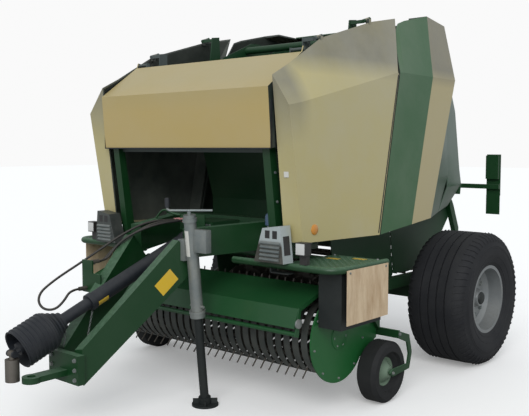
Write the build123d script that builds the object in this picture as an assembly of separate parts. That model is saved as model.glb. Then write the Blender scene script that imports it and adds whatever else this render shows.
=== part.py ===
"""Fixed-chamber round baler, as towed behind a tractor and parked on its drawbar jack.

Millimetres. The model is drawn with the axle at Y = 0: Y runs to the rear, X to the machine's left,
Z up from the ground. Every outline of a side view is written as (y, z). At the end everything is moved
along Y, so that the origin lies on the ground under the middle of the machine.
"""
from build123d import *
from math import cos, hypot, pi, radians, sin, sqrt, tan
import os

# ---------------------------------------------------------------- driving sizes
RUN = 0.3                 # clearance between a turning or sliding piece and its seat
SEAT = 0.3                # gap between a curved piece and the piece it rests on

TYRE_DIAMETER = 1058      # 500/50-20 implement tyre, a little loaded
TYRE_WIDTH = 500
TYRE_WALL = 22
WHEEL_X = 1085            # half the track
RIM_SEAT = 508            # 20 inch bead seat
RIM_WIDTH = 412
RIM_SHEET = 8
STUB_DIAMETER = 80
HUB_DIAMETER = 160
AXLE_BEAM = 120           # square tube

CHAMBER_Y = -100          # middle of the bale
CHAMBER_Z = 1400
CHAMBER_R = 625           # bale radius inside the slats
CHAMBER_HALF = 600        # half the inside width
WALL = 6                  # chamber side sheet
SLAT = (34, 16)           # slat of the conveyor: along the chain, across it
SLAT_STEP = 11            # degrees between slats
CHAIN_DEPTH = 24          # a chain's height
CHAIN_GAP = 28            # between the inner and the outer run

CROSS_SHAFT = (-1780, 1004)   # (y, z) of the shaft from the gearbox to the left-hand chains

GATE_Y = -580             # tailgate hinge
GATE_Z = 2540
GATE_PIN = 60
GATE_OPEN = 55            # degrees
SEAM_GAP = 12             # between side hood and tailgate cover
COVER_X = 985             # outer plane of the side covers
COVER_TOP_X = 842         # plane of their upper edge
COVER_REAR_X = 680        # plane of the tailgate cover's rear edge
COVER_WALL = 12
HOOD_HINGE_X = 815        # the side hood's hinge line: one point of it, and how it rises to the rear
HOOD_HINGE_Y = -2120
HOOD_HINGE_Z = 2300
HOOD_HINGE_RISE = 0.3184
HOOD_HINGES = (-1620, -1050)
HOOD_PIN = 16
KNUCKLE = 40
COVER_HINGE = (-1780, 2370)
COVER_PIN = 20
NET_HALF = 720            # half the net box's width

REEL_Y = -1700            # pick-up reel
REEL_Z = 500
BAND_R = 260
BAND_SHEET = 4
BAND_COUNT = 28
BAND_PITCH = 72
BAND_WIDTH = 50
TINE_TIP_R = 338
TINE_ROWS = 5
TINE_DIAMETER = 7
TINE_BAR_R = 185
PICKUP_HALF = 1062        # outer face of the side plates
PICKUP_SHEET = 12
BAND_BEAM = 30            # depth of the beams behind the bands
PIVOT_Y = -950            # pick-up hinge
PIVOT_Z = 720
PIVOT_PIN = 50

GUARD_Y = -1500           # wind guard hinge
GUARD_Z = 800
GUARD_HALF = 1030

ROTOR_Y = -820
ROTOR_Z = 690
ROTOR_R = 250
ROTOR_TUBE = 150
ROTOR_SHAFT = 60
ROTOR_GAP = 20            # from the rotor's tube to the chamber's sides
STAR_PITCH = 80
STAR_COUNT = 2 * (CHAMBER_HALF - ROTOR_GAP) // STAR_PITCH
STAR_FINGERS = 4
STAR_SHEET = 10

GAUGE_DIAMETER = 420
GAUGE_WIDTH = 150
GAUGE_X = 1150
GAUGE_Y = -1330
GAUGE_LIFT = 2            # the pick-up's wheels hang just clear of the ground
GAUGE_PIN = 30

BEAM_TOP = 1230           # drawbar beams
BEAM_BOTTOM = 1040
BEAM_WIDTH = 76
KNEE = (250, -2300)       # (x, y) where the arms turn down
BEAM_REAR = (500, -1650)
CROSS_Y = (-1650, -1560)  # the front cross beam
ARM_FRONT = (92, -3030)
ARM_FRONT_Z = (320, 490)
ARM_KNEE_Z = (915, 1175)
HITCH_Y = -3050
EYE_Y = -3310
EYE_Z = 374
EYE_BORE = 50            # for a 40 mm hitch pin, worn
EYE_RING = 110
EYE_THICK = 36

JACK_FOOT = (BEAM_WIDTH / 2 + 264, -2180)     # (x, y) on the ground, beside the left arm
JACK_TOP = (BEAM_WIDTH / 2 + 307, -2353)      # (x, y) at the height of the tube's top
JACK_HEIGHT = 1290
JACK_TUBE = 80
JACK_LEG = 58
JACK_PAD = 180
JACK_RETRACT = 400

PTO_ROOT = (0, -2050, 1100)
PTO_FALL = 23.4             # degrees below level, parked
PTO_YAW = 4               # degrees to the machine's right
PTO_OUTER = 100
PTO_INNER = 76
PTO_BELL = 236
YOKE_PIN = 16
KNOB = 40                 # blocks and ears of the drive shaft's joints
EAR = 12
EAR_X = 28
YOKE_REACH = 165
YOKE_DEPTH = 95
YOKE_BORE = 35            # 1 3/8 inch splined shaft
PTO_JOINT = 1450          # from the rear joint to the hanging yoke's joint

PLATFORM_TOP = 1000
TRAY_DEPTH = 30
PLATFORM_X = (850, 1255)
PLATFORM_Y = (-2010, -1480)
BUMPER = 45
BUMPER_Z = 990
BUMPER_X = 1277           # the bar's outer run
BUMPER_Y = -2050          # its front run
HOSE_DIAMETER = 16
GLAND_DIAMETER = 30

COVER_HALF = 825          # front cover
CYLINDER_X = 700
CYLINDER_FOOT = (-849, 1460)
CYLINDER_EYE = (-390, 2234)
CYLINDER_BARREL = 84
CYLINDER_ROD = 45


# ---------------------------------------------------------------- helpers
def side_plane(x):
    """The plane across the machine at x, whose own axes are Y and Z."""
    return Plane.YZ.offset(x)


def outline(points, radius=0):
    """A face in (y, z), with its corners rounded by one radius."""
    face = make_face(Polyline(*points, close=True))
    if radius:
        face = fillet(face.vertices(), radius)
    return face


def plate(points, x0, x1, radius=0):
    """A flat plate cut to a side view outline, from x0 to x1."""
    return extrude(side_plane(x0) * outline(points, radius), x1 - x0)


def disc(y, z, diameter, x0, x1):
    """A round boss or pin across the machine."""
    return extrude(side_plane(x0) * Pos(y, z) * Circle(diameter / 2), x1 - x0)


def block(x0, x1, y0, y1, z0, z1):
    """A box between its corners."""
    middle = Pos((x0 + x1) / 2, (y0 + y1) / 2, (z0 + z1) / 2)
    return middle * Box(abs(x1 - x0), abs(y1 - y0), abs(z1 - z0))


def rod(start, end, diameter, bore=0):
    """A round bar between two points, or a tube where it has a bore."""
    axis = Vector(*end) - Vector(*start)
    plane = Plane(origin=start, z_dir=axis)
    ring = Circle(diameter / 2)
    if bore:
        ring -= Circle(bore / 2)
    return extrude(plane * ring, axis.length)


def bent_bar(points, diameter, bend):
    """A round bar along straight runs with equal bends."""
    path = FilletPolyline(*points, radius=bend)
    return sweep(Plane(origin=path @ 0, z_dir=path % 0) * Circle(diameter / 2), path=path)


def beam(start, end, start_size, end_size):
    """A box section between two points; sizes are (across, upright)."""
    axis = Vector(*end) - Vector(*start)
    across = Vector(0, 0, 1).cross(axis).normalized()
    near = Plane(origin=start, x_dir=across, z_dir=axis) * Rectangle(*start_size)
    far = Plane(origin=end, x_dir=across, z_dir=axis) * Rectangle(*end_size)
    return loft([near, far], ruled=True)


def offset_points(points, distance, closed=False):
    """The same outline moved sideways; positive is to the left of the way it runs."""
    count = len(points)
    moved = []
    for i, point in enumerate(points):
        before = points[i - 1] if (closed or i > 0) else None
        after = points[(i + 1) % count] if (closed or i < count - 1) else None
        normals = []
        for a, b in ((before, point), (point, after)):
            if a is not None and b is not None:
                length = hypot(b[0] - a[0], b[1] - a[1])
                normals.append((-(b[1] - a[1]) / length, (b[0] - a[0]) / length))
        nx = sum(n[0] for n in normals)
        ny = sum(n[1] for n in normals)
        scale = distance * len(normals) / (nx * nx + ny * ny)
        moved.append((point[0] + nx * scale, point[1] + ny * scale))
    return moved


def bent_sheet(points, thickness, x0, x1):
    """A folded sheet: a side view line given a thickness to its left."""
    return plate(points + offset_points(points, thickness)[::-1], x0, x1)


def flats(points, thickness, x0, x1):
    """The same sheet as one plate for each flat, mitred where they meet."""
    far = offset_points(points, thickness)
    return [plate(corners, x0, x1) for corners in zip(points, points[1:], far[1:], far)]


def between(low, high, share):
    """The outline that lies that share of the way from one outline to another."""
    return [(a[0] + (b[0] - a[0]) * share, a[1] + (b[1] - a[1]) * share) for a, b in zip(low, high)]


def dished(inner, inner_x, outer, outer_x, wall):
    """A moulded cover: two side view outlines joined by flat faces, open to the inside of the machine."""
    skin = loft([side_plane(inner_x) * outline(inner), side_plane(outer_x) * outline(outer)], ruled=True)
    share = (outer_x - wall - inner_x) / (outer_x - inner_x)
    low = outline(offset_points(inner, -wall, closed=True))
    high = outline(offset_points(between(inner, outer, share), -wall, closed=True))
    hollow = loft([side_plane(inner_x) * low, side_plane(outer_x - wall) * high], ruled=True)
    hollow += extrude(side_plane(inner_x - 1) * low, 2)
    return skin - hollow


def sector(r0, r1, a0, a1):
    """A ring sector about the middle of the bale, angles in degrees from the rear, upwards."""
    def at(r, a):
        return (CHAMBER_Y + r * cos(radians(a)), CHAMBER_Z + r * sin(radians(a)))
    middle = (a0 + a1) / 2
    edges = [
        ThreePointArc(at(r0, a0), at(r0, middle), at(r0, a1)),
        Line(at(r0, a1), at(r1, a1)),
        ThreePointArc(at(r1, a1), at(r1, middle), at(r1, a0)),
        Line(at(r1, a0), at(r0, a0)),
    ]
    return make_face(edges)


def right(part):
    """The same piece on the machine's right."""
    return mirror(part, about=Plane.YZ)


def pair(part):
    """A piece and its mirror image, as one node."""
    return Compound(children=[part.solid() if len(part.solids()) == 1 else part, right(part)])


def group(*parts):
    """Several solids that share a node."""
    return Compound(children=[solid for part in parts for solid in part.solids()])


def mirrored(*parts):
    """Several solids and their mirror images, as one node."""
    return group(*parts, *(right(part) for part in parts))


# ---------------------------------------------------------------- wheels
def tyre():
    """A wide implement tyre, hollow, seated on the rim's bead seats. Its middle is at the origin."""
    seat, radius, half = RIM_SEAT / 2, TYRE_DIAMETER / 2, TYRE_WIDTH / 2
    wall = radius - seat
    bead = RIM_WIDTH / 2 - 1
    profile = [(bead, seat + 20), (half - 14, seat + 0.22 * wall), (half, seat + 0.5 * wall),
               (half - 6, seat + 0.72 * wall), (half - 24, radius - 40), (half - 60, radius - 9),
               (half - 150, radius - 2)]
    cavity = [(x - TYRE_WALL, z - share * TYRE_WALL)
              for (x, z), share in zip(profile, (0, 0, 0, 0.2, 0.6, 1, 1))]
    cavity[0] = (bead - TYRE_WALL, seat)
    section = [(bead, seat)] + profile + [(-x, z) for x, z in profile[::-1]] + [(-bead, seat)]
    section += [(-x, z) for x, z in cavity] + cavity[::-1]
    return revolve(Plane.XZ * outline(section), Axis.X)


def rim():
    """A dished steel wheel with its hub, for the left side. Its middle is at the origin."""
    seat, half, sheet = RIM_SEAT / 2 - SEAT, RIM_WIDTH / 2, RIM_SHEET
    outer = [
        (-half - 8, seat + 18), (-half, seat + 18), (-half, seat), (-110, seat - 3), (-85, seat - 40),
        (60, seat - 40), (100, seat - 3), (half, seat), (half, seat + 18), (half + 8, seat + 18),
    ]
    inner = [
        (half + 8, seat - sheet), (100 + 3, seat - 3 - sheet), (70, seat - 40 - sheet),
        (76, seat - 70), (96, 150), (96, HUB_DIAMETER / 2), (150, HUB_DIAMETER / 2 - 18), (150, 0),
        (62, 0), (62, STUB_DIAMETER / 2 + RUN), (-95, STUB_DIAMETER / 2 + RUN), (-95, HUB_DIAMETER / 2),
        (86, HUB_DIAMETER / 2), (86, 144), (66, seat - 72), (54, seat - 40 - sheet),
        (-88, seat - 40 - sheet), (-114, seat - 3 - sheet), (-half - 8, seat - sheet),
    ]
    return revolve(Plane.XZ * outline(outer + inner), Axis.X)


def gauge_wheel():
    """A small solid-tyred wheel about its own middle, with a bore for its pin."""
    r, h = GAUGE_DIAMETER / 2, GAUGE_WIDTH / 2
    rim_r = r - 78
    section = [
        (-h + 22, rim_r), (-h, rim_r + 10), (-h, r - 26), (-h + 24, r), (h - 24, r), (h, r - 26),
        (h, rim_r + 10), (h - 22, rim_r), (h - 28, rim_r - 10), (14, 80), (h - 8, 34),
        (h - 8, GAUGE_PIN / 2 + RUN), (-h + 8, GAUGE_PIN / 2 + RUN), (-h + 8, 34), (-14, 80),
        (-h + 28, rim_r - 10),
    ]
    return revolve(Plane.XZ * outline(section), Axis.X)


def axle_beam():
    """The square axle tube, with its flanges and stub axles."""
    wheel_z = TYRE_DIAMETER / 2
    half = WHEEL_X - 285
    beam_half = AXLE_BEAM / 2
    tube = block(-half, half, -beam_half, beam_half, wheel_z - beam_half, wheel_z + beam_half)
    tube -= block(-half, half, -beam_half + 8, beam_half - 8, wheel_z - beam_half + 8,
                  wheel_z + beam_half - 8)
    for side in (-1, 1):
        tube += disc(0, wheel_z, 200, side * half, side * (half + 14))
        tube += disc(0, wheel_z, STUB_DIAMETER, side * half, side * (WHEEL_X + 60))
    return tube


# ---------------------------------------------------------------- bale chamber and frame
GATE_EDGE = [(-550, 2400), (-300, 700)]       # front edge of the tailgate's walls
FRONT_WALL = [
    (-562, 2400), (-312, 700), (-345, 640), (-560, 590), (-1010, 590), (-1120, 700), (-1180, 1060),
    (-1180, 1320), (-1290, 1700), (-1290, 2150), (-1050, 2480), (-700, 2630), (-580, 2630), (-505, 2540),
]


def chamber_sides():
    """The front half's two side sheets, with the bosses that the tailgate, pick-up and cylinders hang on."""
    inside = CHAMBER_HALF
    wall = plate(FRONT_WALL, inside, inside + WALL)
    wall -= disc(ROTOR_Y, ROTOR_Z, ROTOR_SHAFT + 2 * RUN, inside - 1, inside + WALL + 1)
    outer = inside + WALL
    bosses = [disc(GATE_Y, GATE_Z, GATE_PIN, outer, outer + 34),
              disc(PIVOT_Y, PIVOT_Z, PIVOT_PIN, outer, outer + 40),
              disc(*CYLINDER_FOOT, 50, outer, CYLINDER_X + 40)
              + disc(*CYLINDER_FOOT, 110, outer, CYLINDER_X - 46)]
    return mirrored(wall, *bosses)


def frame_members():
    """Longitudinal rails, the front cross beam and the members that carry the axle."""
    outer = CHAMBER_HALF + WALL
    wheel_top = TYRE_DIAMETER / 2 + AXLE_BEAM / 2
    cross = block(-660, 660, *CROSS_Y, BEAM_BOTTOM, BEAM_TOP)
    rail = block(outer, outer + 54, CROSS_Y[1], -1000, BEAM_BOTTOM + 20, BEAM_TOP - 30)
    low = block(outer, outer + 64, -780, 60, wheel_top, wheel_top + 90)
    return group(cross, mirrored(rail, low))


def hood_axis(y):
    """The point at y on the left side hood's sloping hinge line."""
    return (HOOD_HINGE_X, y, HOOD_HINGE_Z + (y - HOOD_HINGE_Y) * HOOD_HINGE_RISE)


def hinge_carrier(y, plate_x):
    """What holds a hood's hinge pin: cheeks either side of the knuckle, the pin and an arm from a plate."""
    part = rod(hood_axis(y - KNUCKLE), hood_axis(y + KNUCKLE), HOOD_PIN)
    for side in (-1, 1):
        inner, end = y + side * (KNUCKLE / 2 + 2), y + side * KNUCKLE
        part += rod(hood_axis(inner), hood_axis(end), 28)
    x, y0, z = hood_axis(y - KNUCKLE * 0.8)
    y1 = hood_axis(y + KNUCKLE * 0.8)[1]
    part += block(plate_x, x - 12, y0 - 6, y0 + 6, z - 14, z + 10)
    part += block(plate_x, x - 12, y1 - 6, y1 + 6, z, z + 18)
    return part


def top_frame():
    """Cross tubes over the front half, and the pointed brackets of the side hoods' rear hinges."""
    parts = [disc(y, z, 60, -CHAMBER_HALF, CHAMBER_HALF) for y, z in ((-1180, 2240), (-760, 2560))]
    y = HOOD_HINGES[1]
    z = hood_axis(y)[2]
    bracket = plate([(y - 80, 2330), (y + 60, 2330), (y + KNUCKLE, z + 18), (y - KNUCKLE, z + 8)], 690, 702)
    bracket += block(CHAMBER_HALF + WALL, 691, y - 60, y + 40, 2340, 2380)
    bracket += hinge_carrier(y, 701)
    return group(*parts, bracket, right(bracket))


def front_posts():
    """The two posts that carry the net box's front, standing on the front cross beam."""
    base = 1080
    post = plate([(-2085, 1820), (-2030, 1820), (-1925, base + 40), (-1925, base), (-1990, base)], NET_HALF,
                 NET_HALF + 60)
    return mirrored(post, block(660, 780, -1990, -1560, base - 34, base))


def net_box():
    """The open-topped box for the net roll, with pins for the front cover and the side hoods."""
    line = [(-1290, 2290), (-1290, 1760), (-1500, 1700), (-2030, 1700), (-2060, 2070)]
    box = bent_sheet(line, -8, -NET_HALF, NET_HALF)
    y, z = COVER_HINGE
    hood_y = HOOD_HINGES[0]
    hood_z = hood_axis(hood_y)[2]
    end = line + [(y - 12, 2250), (y - 12, z + 14), (y + 14, z + 14), (y + 40, 2300),
                  (hood_y - KNUCKLE, 2320), (hood_y - KNUCKLE, hood_z + 4),
                  (hood_y + KNUCKLE, hood_z + 16), (hood_y + KNUCKLE, 2290)]
    cheek = plate(end, NET_HALF - 8, NET_HALF) + disc(y, z, COVER_PIN, NET_HALF - 1, COVER_HALF + 3)
    cheek += hinge_carrier(hood_y, NET_HALF - 1)
    return box + cheek + right(cheek)


def conveyor(start, end):
    """An endless chain and slat conveyor, laid along part of the bale's circle."""
    inner = CHAMBER_R + SLAT[1] - 4
    outer = inner + 2 * CHAIN_DEPTH + CHAIN_GAP
    loop = sector(inner, outer, start, end)
    loop -= sector(inner + CHAIN_DEPTH, outer - CHAIN_DEPTH, start + 2, end - 2)
    chain_x = CHAMBER_HALF - 12
    parts = [extrude(side_plane(side * chain_x) * loop, side * 12) for side in (-1, 1)]
    count = int((end - start - 3) // SLAT_STEP)
    first = (start + end - count * SLAT_STEP) / 2
    slats = []
    for i in range(count + 1):
        angle = first + i * SLAT_STEP
        for r in (CHAMBER_R + SLAT[1] / 2, outer - 4 + SLAT[1] / 2):
            y = CHAMBER_Y + r * cos(radians(angle))
            z = CHAMBER_Z + r * sin(radians(angle))
            slats.append(Pos(0, y, z) * Rot(angle - 90, 0, 0) * Box(2 * chain_x + 16, *SLAT))
    return parts[0] + parts[1] + slats


def rotor_housing():
    """The sheet trough under the feed rotor, the ramp behind it and the sheet that closes the front."""
    r = ROTOR_R + 14

    def at(angle):
        return (ROTOR_Y + r * cos(radians(angle)), ROTOR_Z + r * sin(radians(angle)))
    line = [at(a) for a in range(205, 331, 25)] + [(-480, 640), (-345, 770)]
    trough = bent_sheet(line, -6, -CHAMBER_HALF, CHAMBER_HALF)
    comb = block(-CHAMBER_HALF, CHAMBER_HALF, -720, -680, 945, 985)
    front = flats(FRONT_WALL[6:9], -3, -CHAMBER_HALF, CHAMBER_HALF)
    return group(trough, comb, *front)


def feed_rotor():
    """A tube with rows of star plates, each turned a little from the last."""
    half = CHAMBER_HALF - ROTOR_GAP
    rotor = rod((-half, 0, 0), (half, 0, 0), ROTOR_TUBE)
    rotor += rod((-half - 50, 0, 0), (half + 50, 0, 0), ROTOR_SHAFT)
    step = 360 / STAR_FINGERS
    root = ROTOR_TUBE / 2 - 4
    for i in range(STAR_COUNT):
        x = (i - (STAR_COUNT - 1) / 2) * STAR_PITCH
        points = []
        for finger in range(STAR_FINGERS):
            turn = finger * step + i * 24
            for r, lean in ((root, -26), (ROTOR_R * 0.7, -13), (ROTOR_R, 0), (ROTOR_R - 8, 5),
                            (root + 12, 30)):
                points.append((r * cos(radians(turn + lean)), r * sin(radians(turn + lean))))
        rotor += plate(points, x - STAR_SHEET / 2, x + STAR_SHEET / 2)
    return Pos(0, ROTOR_Y, ROTOR_Z) * rotor


# ---------------------------------------------------------------- covers
SEAM = [(-1110, 1115), (-870, 2275), (-710, 2690)]      # bottom, crease, top


def side_hood():
    """The left front side cover, hinged along its top edge."""
    inner = [(-2000, 1135), (-2120, 2180), (-1970, 2255), (-1620, 2455), (-1020, 2630), SEAM[2], SEAM[1],
             SEAM[0]]
    outer = [(-1990, 1135), (-2130, 1990), (-1985, 2016), (-1650, 2093), (-1100, 2221), (-890, 2270),
             (-873.5, 2258), SEAM[0]]
    hood = dished(inner, COVER_TOP_X, outer, COVER_X, COVER_WALL)
    for y in HOOD_HINGES:
        x, _, z = hood_axis(y)
        start, end = hood_axis(y - KNUCKLE / 2), hood_axis(y + KNUCKLE / 2)
        hood += block(x + 4, COVER_TOP_X + 6, y - KNUCKLE / 2 + 7, y + KNUCKLE / 2 - 7, z - 40, z + 6)
        hood += rod(start, end, 28)
        hood -= rod(hood_axis(y - KNUCKLE), hood_axis(y + KNUCKLE), HOOD_PIN + 2 * RUN)
    return hood.solids().sort_by(SortBy.VOLUME)[-1]


def tailgate_cover():
    """The left rear side cover: a side face, a top bevel and a long bevel to the rear."""
    seam = offset_points(SEAM, -SEAM_GAP)
    cap = sqrt((GATE_Y - SEAM[2][0]) ** 2 + (GATE_Z - SEAM[2][1]) ** 2) * 0.75
    nose = [(GATE_Y + cap * cos(radians(a)), GATE_Z + cap * sin(radians(a))) for a in (166, 128, 90)]
    inner = [(SEAM[0][0] + SEAM_GAP, SEAM[0][1])] + nose + [(-240, 2765), (50, 2720), (160, 1500), (0, 1200)]
    outer = [(SEAM[0][0] + SEAM_GAP, SEAM[0][1]), seam[1], (-800, 2275), (-720, 2275), (-300, 2272),
             (-20, 2270), (-275, 1500), (-380, 1185)]
    front = dished(inner, COVER_TOP_X, outer, COVER_X, COVER_WALL)
    rear_inner = [(-240, 1190), (-240, 2765), (250, 2750), (580, 2050), (680, 1540), (720, 1400),
                  (470, 1220)]
    rear_outer = [(-240, 1190), (-240, 2765), (50, 2720), (110, 2050), (156, 1540), (152, 1400), (0, 1200)]
    span = COVER_TOP_X - COVER_REAR_X
    low, high = rear_inner, rear_outer
    skin = loft([side_plane(COVER_REAR_X) * outline(low), side_plane(COVER_TOP_X) * outline(high)],
                ruled=True)
    low_hole = offset_points(low, -COVER_WALL, closed=True)
    high_hole = offset_points(high, -COVER_WALL, closed=True)
    for hole in (low_hole, high_hole):
        hole[0] = (hole[0][0] - 3 * COVER_WALL, hole[0][1])
        hole[1] = (hole[1][0] - 3 * COVER_WALL, hole[1][1])
    hollow = loft([side_plane(COVER_REAR_X) * outline(low_hole),
                   side_plane(COVER_TOP_X) * outline(high_hole)], ruled=True)
    hollow += extrude(side_plane(COVER_REAR_X - 1) * outline(low_hole), 2)
    hollow += extrude(side_plane(COVER_TOP_X - 1) * outline(high_hole), 2)
    return group(front, skin - hollow)


REAR_LINE = [(10, 2764), (250, 2750), (580, 2050), (680, 1540), (720, 1400), (705, 1310)]


def tailgate_rear_cover():
    """The folded rear panel between the two tailgate covers."""
    return bent_sheet(REAR_LINE, -10, -COVER_REAR_X, COVER_REAR_X)


def tailgate_sides():
    """The tailgate's two side sheets, with the ears that turn on the hinge pins and the cylinder lugs."""
    rear = offset_points(REAR_LINE, -(10 + SEAT))[1:]
    points = [GATE_EDGE[1], GATE_EDGE[0], (-500, 2530), (-300, 2640), (-100, 2700)] + rear
    points += [(640, 1120), (430, 900), (200, 745), (-60, 690)]
    inside, outer = CHAMBER_HALF, CHAMBER_HALF + WALL
    wall = plate(points, inside, outer)
    pad = plate([(-400, 2500), (-300, 2500), (-300, 2120), (-440, 2120)], outer, outer + 6)
    ear_points = [(-640, 2600), (-520, 2610), (-300, 2500), (-300, 2120), (-440, 2120), (-640, 2470)]
    ear = plate(ear_points, outer + 6, outer + 22)
    ear -= disc(GATE_Y, GATE_Z, GATE_PIN + 2 * RUN, outer, outer + 40)
    lug = [(-314, 2324), (-314, 2158), (-350, 2180), (-430, 2190), (-440, 2260), (-360, 2330)]
    lug_back = [(-300, 2320), (-300, 2150), (-314, 2158), (-314, 2324)]
    first, last = outer + 22, CYLINDER_X + 38
    lugs = [plate(lug, x0, x1) for x0, x1 in ((first, first + 28), (CYLINDER_X - 38, CYLINDER_X - 26),
                                              (CYLINDER_X + 26, last))]
    return mirrored(wall + pad + ear, plate(lug_back, first, last), *lugs)


def tailgate_braces():
    """The lower rear legs of the tailgate and their cross tube."""
    outer = CHAMBER_HALF + WALL
    leg = plate([(560, 1290), (610, 1260), (640, 1215), (745, 1000), (725, 780), (670, 780), (680, 985),
                 (580, 1190)],
                outer, outer + 44)
    tube = rod((-outer, 700, 830), (outer, 700, 830), 70)
    return group(leg, right(leg), tube)


def rear_lamps():
    """Lamp carriers behind the tailgate: arm, bracket, mast, lamp and hanging reflector."""
    arm = block(560, 980, 850, 890, 1360, 1400)
    bracket = block(600, 640, 700, 851, 1362, 1398) - tailgate_rear_cover()
    arm += bracket.solids().sort_by(Axis.Y)[-1]
    mast = block(850, 980, 880, 890, 1300, 1670)
    lamp = block(856, 974, 845, 880, 1450, 1660)
    reflector = plate([(878, 1300), (882, 1300), (882, 1130), (878, 1130)], 850, 980)
    return group(arm + mast + lamp + reflector, right(arm + mast + lamp + reflector))


def front_cover():
    """The folded cover over the net box, turning on pins at its rear edge."""
    line = [(-1800, 2350), (-2140, 2110), (-2110, 1730)]
    sheet = bent_sheet(line, 10, -COVER_HALF, COVER_HALF)
    edge = [(COVER_HINGE[0] + 18, COVER_HINGE[1] + 14), (COVER_HINGE[0] - 6, COVER_HINGE[1] + 18)] + line
    edge += offset_points(line, 45)[::-1] + [(COVER_HINGE[0] + 20, COVER_HINGE[1] - 12)]
    for side in (-1, 1):
        cheek = plate(edge, side * (COVER_HALF - 10), side * COVER_HALF)
        sheet += cheek - disc(*COVER_HINGE, COVER_PIN + 2 * RUN, side * (COVER_HALF - 20),
                              side * (COVER_HALF + 10))
    return sheet


# ---------------------------------------------------------------- hydraulic cylinders
def along(start, end, distance):
    """The point at a distance from one (y, z) point towards another."""
    length = hypot(end[0] - start[0], end[1] - start[1])
    return (start[0] + (end[0] - start[0]) * distance / length,
            start[1] + (end[1] - start[1]) * distance / length)


def at_x(x, point):
    return (x, point[0], point[1])


def cylinder_barrel():
    """Barrel with the eye at its foot, open at the top for the rod."""
    mouth = along(CYLINDER_FOOT, CYLINDER_EYE, 640)
    base = along(CYLINDER_FOOT, CYLINDER_EYE, 60)
    floor = along(CYLINDER_FOOT, CYLINDER_EYE, 80)
    barrel = rod(at_x(CYLINDER_X, base), at_x(CYLINDER_X, mouth), CYLINDER_BARREL)
    barrel += disc(*CYLINDER_FOOT, 100, CYLINDER_X - 22, CYLINDER_X + 22)
    barrel += rod(at_x(CYLINDER_X, CYLINDER_FOOT), at_x(CYLINDER_X, base), 50)
    barrel -= rod(at_x(CYLINDER_X, floor), at_x(CYLINDER_X, along(mouth, CYLINDER_EYE, 5)),
                  CYLINDER_ROD + 2 * RUN)
    barrel -= disc(*CYLINDER_FOOT, 50 + 2 * RUN, CYLINDER_X - 60, CYLINDER_X + 60)
    return barrel


def cylinder_rod():
    """Rod with the eye that sits between the tailgate's lugs."""
    tail = along(CYLINDER_FOOT, CYLINDER_EYE, 120)
    neck = along(CYLINDER_EYE, CYLINDER_FOOT, 20)
    piece = rod(at_x(CYLINDER_X, tail), at_x(CYLINDER_X, neck), CYLINDER_ROD)
    piece += disc(*CYLINDER_EYE, 84, CYLINDER_X - 17, CYLINDER_X + 17)
    return piece - disc(*CYLINDER_EYE, 40, CYLINDER_X - 60, CYLINDER_X + 60)


# ---------------------------------------------------------------- pick-up
def pickup_bands():
    """Curved bands side by side, with a gap between them for each column of tines."""
    def path(r):
        tail = REEL_Y + TINE_TIP_R + 30
        return ((tail, REEL_Z + r - 30), (REEL_Y, REEL_Z + r), (REEL_Y - r, REEL_Z), (REEL_Y, REEL_Z - r),
                (tail, REEL_Z - r + 110))
    out, inn = path(BAND_R), path(BAND_R - BAND_SHEET)
    edges = [Line(out[0], out[1]), ThreePointArc(out[1], out[2], out[3]), Line(out[3], out[4]),
             Line(out[4], inn[4]),
             Line(inn[4], inn[3]), ThreePointArc(inn[3], inn[2], inn[1]), Line(inn[1],
                                                                               inn[0]), Line(inn[0], out[0])]
    face = make_face(edges)
    solids = []
    for i in range(BAND_COUNT):
        x = (i - (BAND_COUNT - 1) / 2) * BAND_PITCH
        solids.append(extrude(side_plane(x - BAND_WIDTH / 2) * face, BAND_WIDTH))
    half = PICKUP_HALF - PICKUP_SHEET
    tail = out[0][0]
    beams = block(-half, half, tail, tail + BAND_BEAM, out[0][1] - 60, out[0][1])
    beams += block(-half, half, tail, tail + BAND_BEAM, out[4][1], out[4][1] + 60)
    return beams + solids


def pickup_sides():
    """The round end plates of the pick-up, with the bearings of the reel."""
    x0, x1 = PICKUP_HALF - PICKUP_SHEET, PICKUP_HALF
    face = Pos(REEL_Y, REEL_Z) * Circle(300)
    face += outline([(REEL_Y, REEL_Z + 300), (-1290, 770), (-1240, 700), (-1260, 420),
                     (REEL_Y, REEL_Z - 300)])
    side = extrude(side_plane(x0) * face, x1 - x0)
    side -= disc(REEL_Y, REEL_Z, 50 + 2 * RUN, x0 - 1, x1 + 1)
    side += disc(GUARD_Y, GUARD_Z, 80, x0, x1)
    side += disc(GUARD_Y, GUARD_Z, 30, GUARD_HALF - 20, x0 + 1)
    return pair(side)


def pickup_frame():
    """The pick-up's cross tube, crop tray and arms to its hinge."""
    outer = CHAMBER_HALF + WALL
    half = PICKUP_HALF - PICKUP_SHEET
    front = REEL_Y + TINE_TIP_R + 30 + BAND_BEAM
    tube = block(-half, half, front, front + 80, 520, 600)
    tray_line = [(front, 716), (front + 70, 608), (-1095, 574)]
    arm = plate([(front, 520), (front, 640), (-960, 775), (-900, 750), (-895, 690), (-940, 665),
                 (-1180, 520)], outer + 4, outer + 24)
    arm -= disc(PIVOT_Y, PIVOT_Z, PIVOT_PIN + 2 * RUN, outer, outer + 40)
    arm = (arm - tube - bent_sheet(tray_line, 8, -half, half)).solids().sort_by(SortBy.VOLUME)[-1]
    return group(tube, *flats(tray_line, 8, -half, half), arm, right(arm))


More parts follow.
